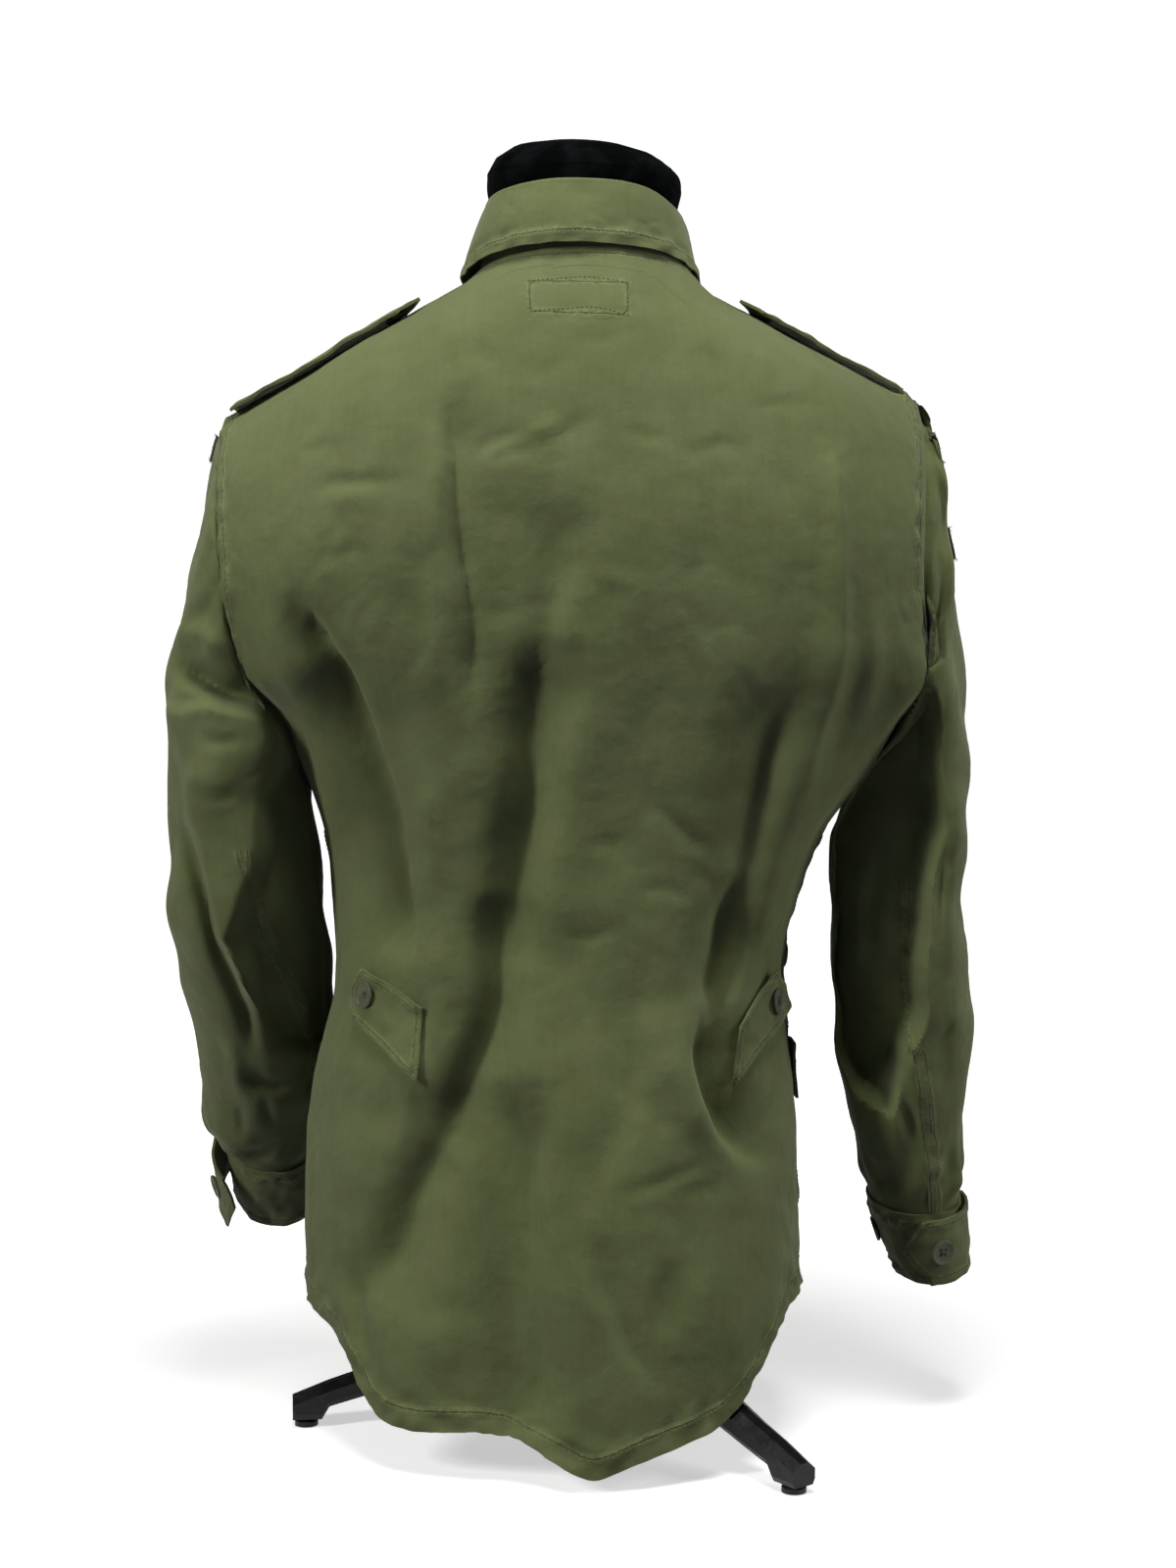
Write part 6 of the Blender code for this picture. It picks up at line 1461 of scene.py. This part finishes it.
# ---------------------------------------------------------------- dress form and stand
def form_cap():
    """The form's neck and domed cap in velvet, with a few pulls in the pile cloth."""
    table = np.array(NECK_RINGS)
    knots = np.arange(len(table))
    at = np.linspace(0, len(table) - 1, 70)
    z, half, tilt = through(knots, table, at).T
    turn = np.linspace(0, 2 * math.pi, 120, endpoint=False)
    x = NECK_MID[0] + half[:, None] * np.cos(turn)
    y = NECK_MID[1] + half[:, None] * np.sin(turn)
    up = z[:, None] + tilt[:, None] * (x - NECK_MID[0])
    grid = smoothed(np.stack([x, y, up], axis=-1), 4)
    normals = outward_from(grid, np.array([*NECK_MID, 0.85]))
    shift = waves(grid, 0.035, 171) * 0.00030 - creases(grid, 0.045, 173) * 0.0009
    shift *= ease(half / 0.03)[:, None]
    grid = grid + normals * shift[..., None]
    verts = np.concatenate([grid.reshape(-1, 3), [[*NECK_MID, grid[-1, :, 2].mean() + 0.0003]],
                            [[*NECK_MID, grid[0, :, 2].mean()]]]) + SHIFT
    rows, columns = grid.shape[:2]
    index = np.arange(rows * columns).reshape(rows, columns)
    wrap = np.concatenate([index, index[:, :1]], axis=1)
    faces = np.stack([wrap[:-1, :-1], wrap[:-1, 1:], wrap[1:, 1:], wrap[1:, :-1]], axis=-1)
    faces = faces.reshape(-1, 4).tolist()
    for c in range(columns):
        d = (c + 1) % columns
        faces.append((int(index[-1, c]), int(index[-1, d]), rows * columns))
        faces.append((int(index[0, d]), int(index[0, c]), rows * columns + 1))
    mesh = bpy.data.meshes.new("velvet_cap")
    mesh.from_pydata(verts.tolist(), [], faces)
    mesh.shade_smooth()
    piece("velvet_cap", mesh, "velvet")


def outward_from(grid, middle):
    """Normals of a closed grid of rings, turned away from a point."""
    normals = grid_normals(grid, closed=True)
    return normals * np.sign(np.sum(normals * (grid - middle), axis=2).sum())


def stand():
    """The form's body, post, hub, legs and pads keep their solids and take their looks; the legs and hub get
    softened edges.
    """
    for name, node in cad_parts.items():
        if name.startswith(("leg_", "pad_", "hub", "post", "dress_form")):
            look = "velvet" if name == "dress_form" else "iron"
            node.data.materials.clear()
            node.data.materials.append(LOOKS[look])
            if name.startswith(("leg_", "hub")):
                soften = node.modifiers.new("soften", "BEVEL")
                soften.width = 0.0012
                soften.segments = 2
                soften.limit_method = "ANGLE"
                soften.angle_limit = math.radians(25)


# ---------------------------------------------------------------- looks
class Nodes:
    """A material's node tree with short calls to add and join nodes."""

    def __init__(self, name):
        self.made = bpy.data.materials.new(name)
        self.made.use_nodes = True
        self.tree = self.made.node_tree
        self.shader = self.tree.nodes["Principled BSDF"]

    def add(self, kind, **inputs):
        node = self.tree.nodes.new(kind)
        for key, value in inputs.items():
            self.put(node.inputs[key.replace("_", " ")], value)
        return node

    def put(self, socket, value):
        if isinstance(value, bpy.types.NodeSocket):
            self.tree.links.new(value, socket)
        else:
            socket.default_value = value

    def noise(self, scale, detail=2.0, where=None, distortion=0.0):
        node = self.add("ShaderNodeTexNoise", Scale=scale, Detail=detail, Distortion=distortion)
        self.put(node.inputs["Vector"], where or self.place())
        return node.outputs["Fac"]

    def place(self):
        return self.add("ShaderNodeTexCoord").outputs["Object"]

    def maths(self, operation, a, b=0.0, clamp=False):
        node = self.tree.nodes.new("ShaderNodeMath")
        node.operation = operation
        node.use_clamp = clamp
        self.put(node.inputs[0], a)
        self.put(node.inputs[1], b)
        return node.outputs[0]

    def spread(self, value, low, high, to_low=0.0, to_high=1.0):
        node = self.add("ShaderNodeMapRange", Value=value)
        for key, number in zip(("From Min", "From Max", "To Min", "To Max"), (low, high, to_low, to_high)):
            node.inputs[key].default_value = number
        return node.outputs["Result"]

    def blend(self, share, a, b, kind="MIX"):
        node = self.tree.nodes.new("ShaderNodeMix")
        node.data_type = "RGBA"
        node.blend_type = kind
        self.put(node.inputs["Factor"], share)
        self.put(node.inputs["A"], a)
        self.put(node.inputs["B"], b)
        return node.outputs["Result"]

    def bump(self, height, metres, under=None):
        node = self.add("ShaderNodeBump", Height=height, Distance=metres)
        node.inputs["Strength"].default_value = 1.0
        if under is not None:
            self.put(node.inputs["Normal"], under)
        return node.outputs["Normal"]

    def finish(self, **inputs):
        for key, value in inputs.items():
            self.put(self.shader.inputs[key.replace("_", " ")], value)
        return self.made


def cloth_look(name, base, worn, deep):
    """Washed cotton sateen: mottled fading, worn seam edges, painted shade in the stitch grooves, small
    crumples and a fine weave.
    """
    n = Nodes(name)
    weave_place = n.add("ShaderNodeUVMap").outputs["UV"]
    n.tree.nodes[-1].uv_map = "cloth"
    stitch = n.add("ShaderNodeAttribute")
    stitch.attribute_name = "stitch"
    gap = n.maths("ABSOLUTE", stitch.outputs["Fac"])
    broad = n.spread(n.noise(7.0, 3.0), 0.30, 0.70)
    blotch = n.spread(n.noise(38.0, 3.0, distortion=0.4), 0.32, 0.68)
    speck = n.spread(n.noise(900.0, 2.0), 0.30, 0.70)
    streak = n.noise(240.0, 2.0, where=stretched(n, weave_place, (1.0, 0.12, 1.0)))
    colour = n.blend(n.maths("MULTIPLY", broad, 0.45), (*base, 1.0), (*worn, 1.0))
    colour = n.blend(n.maths("MULTIPLY", blotch, 0.30), colour, (*deep, 1.0))
    colour = n.blend(n.spread(streak, 0.35, 0.65, 0.0, 0.16), colour, (*worn, 1.0))
    colour = n.blend(n.maths("MULTIPLY", speck, 0.22), colour, (*deep, 1.0))
    near = n.spread(gap, 0.0, 0.0040, 1.0, 0.0)
    pucker = n.noise(330.0, 1.0)
    rubbed = n.maths("MULTIPLY", near, n.spread(pucker, 0.40, 0.66))
    colour = n.blend(n.maths("MULTIPLY", rubbed, 0.55), colour, (*(w * 1.35 for w in worn), 1.0))
    # painted shade: the cloth colour is darkened in the sunk groove of each stitch row
    groove = n.spread(gap, 0.0, 0.0009, 1.0, 0.0)
    colour = n.blend(n.maths("MULTIPLY", groove, 0.45), colour, (*(d * 0.55 for d in deep), 1.0))
    crumple = n.noise(22.0, 2.0, distortion=0.2)
    fine = n.noise(120.0, 3.0, distortion=0.2)
    thread_u = n.add("ShaderNodeTexWave", Scale=420.0, Distortion=1.2, Detail=1.0)
    n.put(thread_u.inputs["Vector"], weave_place)
    twill = n.noise(1500.0, 1.0, where=stretched(n, weave_place, (1.0, 0.35, 1.0)))
    normal = n.bump(crumple, 0.0022)
    normal = n.bump(fine, 0.00060, normal)
    normal = n.bump(n.maths("MULTIPLY", near, pucker), 0.0010, normal)
    normal = n.bump(n.maths("MULTIPLY", groove, -1.0), 0.0006, normal)
    normal = n.bump(thread_u.outputs["Fac"], 0.00003, normal)
    normal = n.bump(twill, 0.00010, normal)
    rough = n.spread(blotch, 0.0, 1.0, 0.80, 0.93)
    made = n.finish(Base_Color=colour, Roughness=rough, Sheen_Weight=0.15, Sheen_Roughness=0.45,
                    Sheen_Tint=(0.75, 0.80, 0.62, 1.0), Specular_IOR_Level=0.28, Normal=normal)
    return made


def stretched(n, where, scale):
    """Coordinates scaled unevenly."""
    node = n.add("ShaderNodeMapping", Vector=where)
    node.inputs["Scale"].default_value = scale
    return node.outputs["Vector"]


def thread_look(name, colour):
    n = Nodes(name)
    shade = n.spread(n.noise(2200.0, 1.0), 0.3, 0.7)
    mixed = n.blend(shade, (*colour, 1.0), (*(c * 1.6 for c in colour), 1.0))
    return n.finish(Base_Color=mixed, Roughness=0.75, Sheen_Weight=0.2)


def button_look():
    """Dull olive moulded plastic, a little mottled and scuffed on its rim."""
    n = Nodes("button")
    shade = n.spread(n.noise(260.0, 3.0), 0.35, 0.65)
    mixed = n.blend(shade, (0.046, 0.052, 0.026, 1.0), (0.068, 0.076, 0.040, 1.0))
    scuff = n.spread(n.noise(1400.0, 2.0), 0.58, 0.72, 0.0, 0.35)
    mixed = n.blend(scuff, mixed, (0.11, 0.12, 0.075, 1.0))
    rough = n.spread(n.noise(700.0, 2.0), 0.3, 0.7, 0.48, 0.64)
    return n.finish(Base_Color=mixed, Roughness=rough, Normal=n.bump(n.noise(900.0, 2.0), 0.00004),
                    Specular_IOR_Level=0.32)


def velvet_look():
    """Black velvet: deep pile with a bluish sheen at grazing angles and brushed patches."""
    n = Nodes("velvet")
    brushed = n.spread(n.noise(30.0, 3.0, distortion=1.2), 0.42, 0.62)
    mixed = n.blend(brushed, (0.0008, 0.0010, 0.0010, 1.0), (0.0030, 0.0037, 0.0040, 1.0))
    pile = n.bump(n.noise(2600.0, 2.0), 0.00016, n.bump(n.noise(60.0, 3.0, distortion=1.0), 0.0011))
    return n.finish(Base_Color=mixed, Roughness=0.95, Sheen_Weight=0.010, Sheen_Roughness=0.30,
                    Sheen_Tint=(0.55, 0.62, 0.70, 1.0), Specular_IOR_Level=0.02, Normal=pile)


def iron_look():
    """Cast iron under satin black paint, with a cast skin and rubbed spots."""
    n = Nodes("iron")
    dust = n.spread(n.noise(120.0, 4.0), 0.45, 0.75)
    mixed = n.blend(n.maths("MULTIPLY", dust, 0.6), (0.0035, 0.0035, 0.0037, 1.0),
                    (0.0110, 0.0110, 0.0105, 1.0))
    skin = n.bump(n.noise(520.0, 3.0), 0.00018, n.bump(n.noise(60.0, 2.0), 0.0006))
    rough = n.spread(n.noise(190.0, 3.0), 0.35, 0.65, 0.34, 0.52)
    return n.finish(Base_Color=mixed, Roughness=rough, Specular_IOR_Level=0.22, Coat_Weight=0.04,
                    Coat_Roughness=0.35, Normal=skin)


def floor_look():
    """Pale paper, lit from below its surface further out so that it meets the pale background."""
    n = Nodes("floor")
    n.finish(Base_Color=(0.86, 0.86, 0.85, 1.0), Roughness=0.9)
    n.shader.inputs["Emission Color"].default_value = (1.0, 1.0, 1.0, 1.0)
    reach = n.add("ShaderNodeVectorMath")
    reach.operation = "LENGTH"
    n.put(reach.inputs[0], n.place())
    n.put(n.shader.inputs["Emission Strength"], n.spread(reach.outputs["Value"], 0.30, 1.60, 0.55, 1.0))
    return n.made


LOOKS = {
    "cloth": cloth_look("cloth", (0.098, 0.119, 0.038), (0.142, 0.162, 0.070), (0.078, 0.094, 0.030)),
    "patch": cloth_look("patch", (0.055, 0.058, 0.045), (0.085, 0.086, 0.070), (0.030, 0.032, 0.026)),
    "thread": thread_look("thread", (0.045, 0.055, 0.024)),
    "fray": thread_look("fray", (0.200, 0.200, 0.170)),
    "button": button_look(),
    "velvet": velvet_look(),
    "iron": iron_look(),
}


# ---------------------------------------------------------------- studio
def area_light(name, place, aim, width, height, power, colour=(1.0, 1.0, 1.0)):
    light = bpy.data.lights.new(name, "AREA")
    light.shape = "RECTANGLE"
    light.size = width
    light.size_y = height
    light.energy = power
    light.color = colour
    made = bpy.data.objects.new(name, light)
    made.location = place
    made.rotation_euler = (Vector(aim) - Vector(place)).to_track_quat("-Z", "Y").to_euler()
    bpy.context.scene.collection.objects.link(made)


def studio():
    """A pale floor, a pale surround, softboxes on both sides and above, and the camera."""
    bpy.ops.mesh.primitive_plane_add(size=30, location=(0, 0, -0.0005))
    floor = bpy.context.object
    floor.name = "floor"
    floor.data.materials.append(floor_look())
    floor.visible_diffuse = False
    world = bpy.data.worlds.new("surround")
    bpy.context.scene.world = world
    world.use_nodes = True
    tree = world.node_tree
    sky = tree.nodes["Background"]
    sky.inputs["Color"].default_value = (1, 1, 1, 1)
    sky.inputs["Strength"].default_value = WORLD_FILL
    seen = tree.nodes.new("ShaderNodeBackground")
    seen.inputs["Color"].default_value = (1, 1, 1, 1)
    seen.inputs["Strength"].default_value = 1.1
    ray = tree.nodes.new("ShaderNodeLightPath")
    mix = tree.nodes.new("ShaderNodeMixShader")
    tree.links.new(ray.outputs["Is Camera Ray"], mix.inputs["Fac"])
    tree.links.new(sky.outputs[0], mix.inputs[1])
    tree.links.new(seen.outputs[0], mix.inputs[2])
    tree.links.new(mix.outputs[0], tree.nodes["World Output"].inputs["Surface"])
    area_light("key", (2.15, 1.55, 1.80), (0, 0, 0.58), 0.32, 0.9, KEY)
    area_light("side", (-2.4, 0.45, 1.2), (-0.2, 0, 0.50), 0.6, 1.2, SIDE)
    area_light("top", (-0.1, 0.6, 2.2), (0, 0.1, 0.75), 0.8, 0.6, TOP)
    area_light("front", (0.6, -2.4, 1.7), (0, 0, 0.55), 1.4, 1.4, FRONT)
    camera = bpy.data.cameras.new("camera")
    camera.sensor_width = SENSOR
    camera.lens = SENSOR * FOCAL / IMAGE_LONG
    made = bpy.data.objects.new("camera", camera)
    made.location = Vector(CAMERA) + Vector(SHIFT)
    made.rotation_euler = Vector((0, -math.cos(PITCH), -math.sin(PITCH))).to_track_quat("-Z", "Y").to_euler()
    bpy.context.scene.collection.objects.link(made)
    bpy.context.scene.camera = made
    bpy.context.scene.view_settings.view_transform = "Standard"


def main():
    surfaces = {"back": back()}
    for side in ("left", "right"):
        surfaces["front_" + side] = front(side)
    surfaces.update(sleeves())
    collar(surfaces["back"])
    waist_tabs(surfaces["back"])
    placket()
    pockets(surfaces)
    cuffs()
    epaulettes()
    patches(surfaces)
    buttons()
    form_cap()
    stand()
    studio()


main()
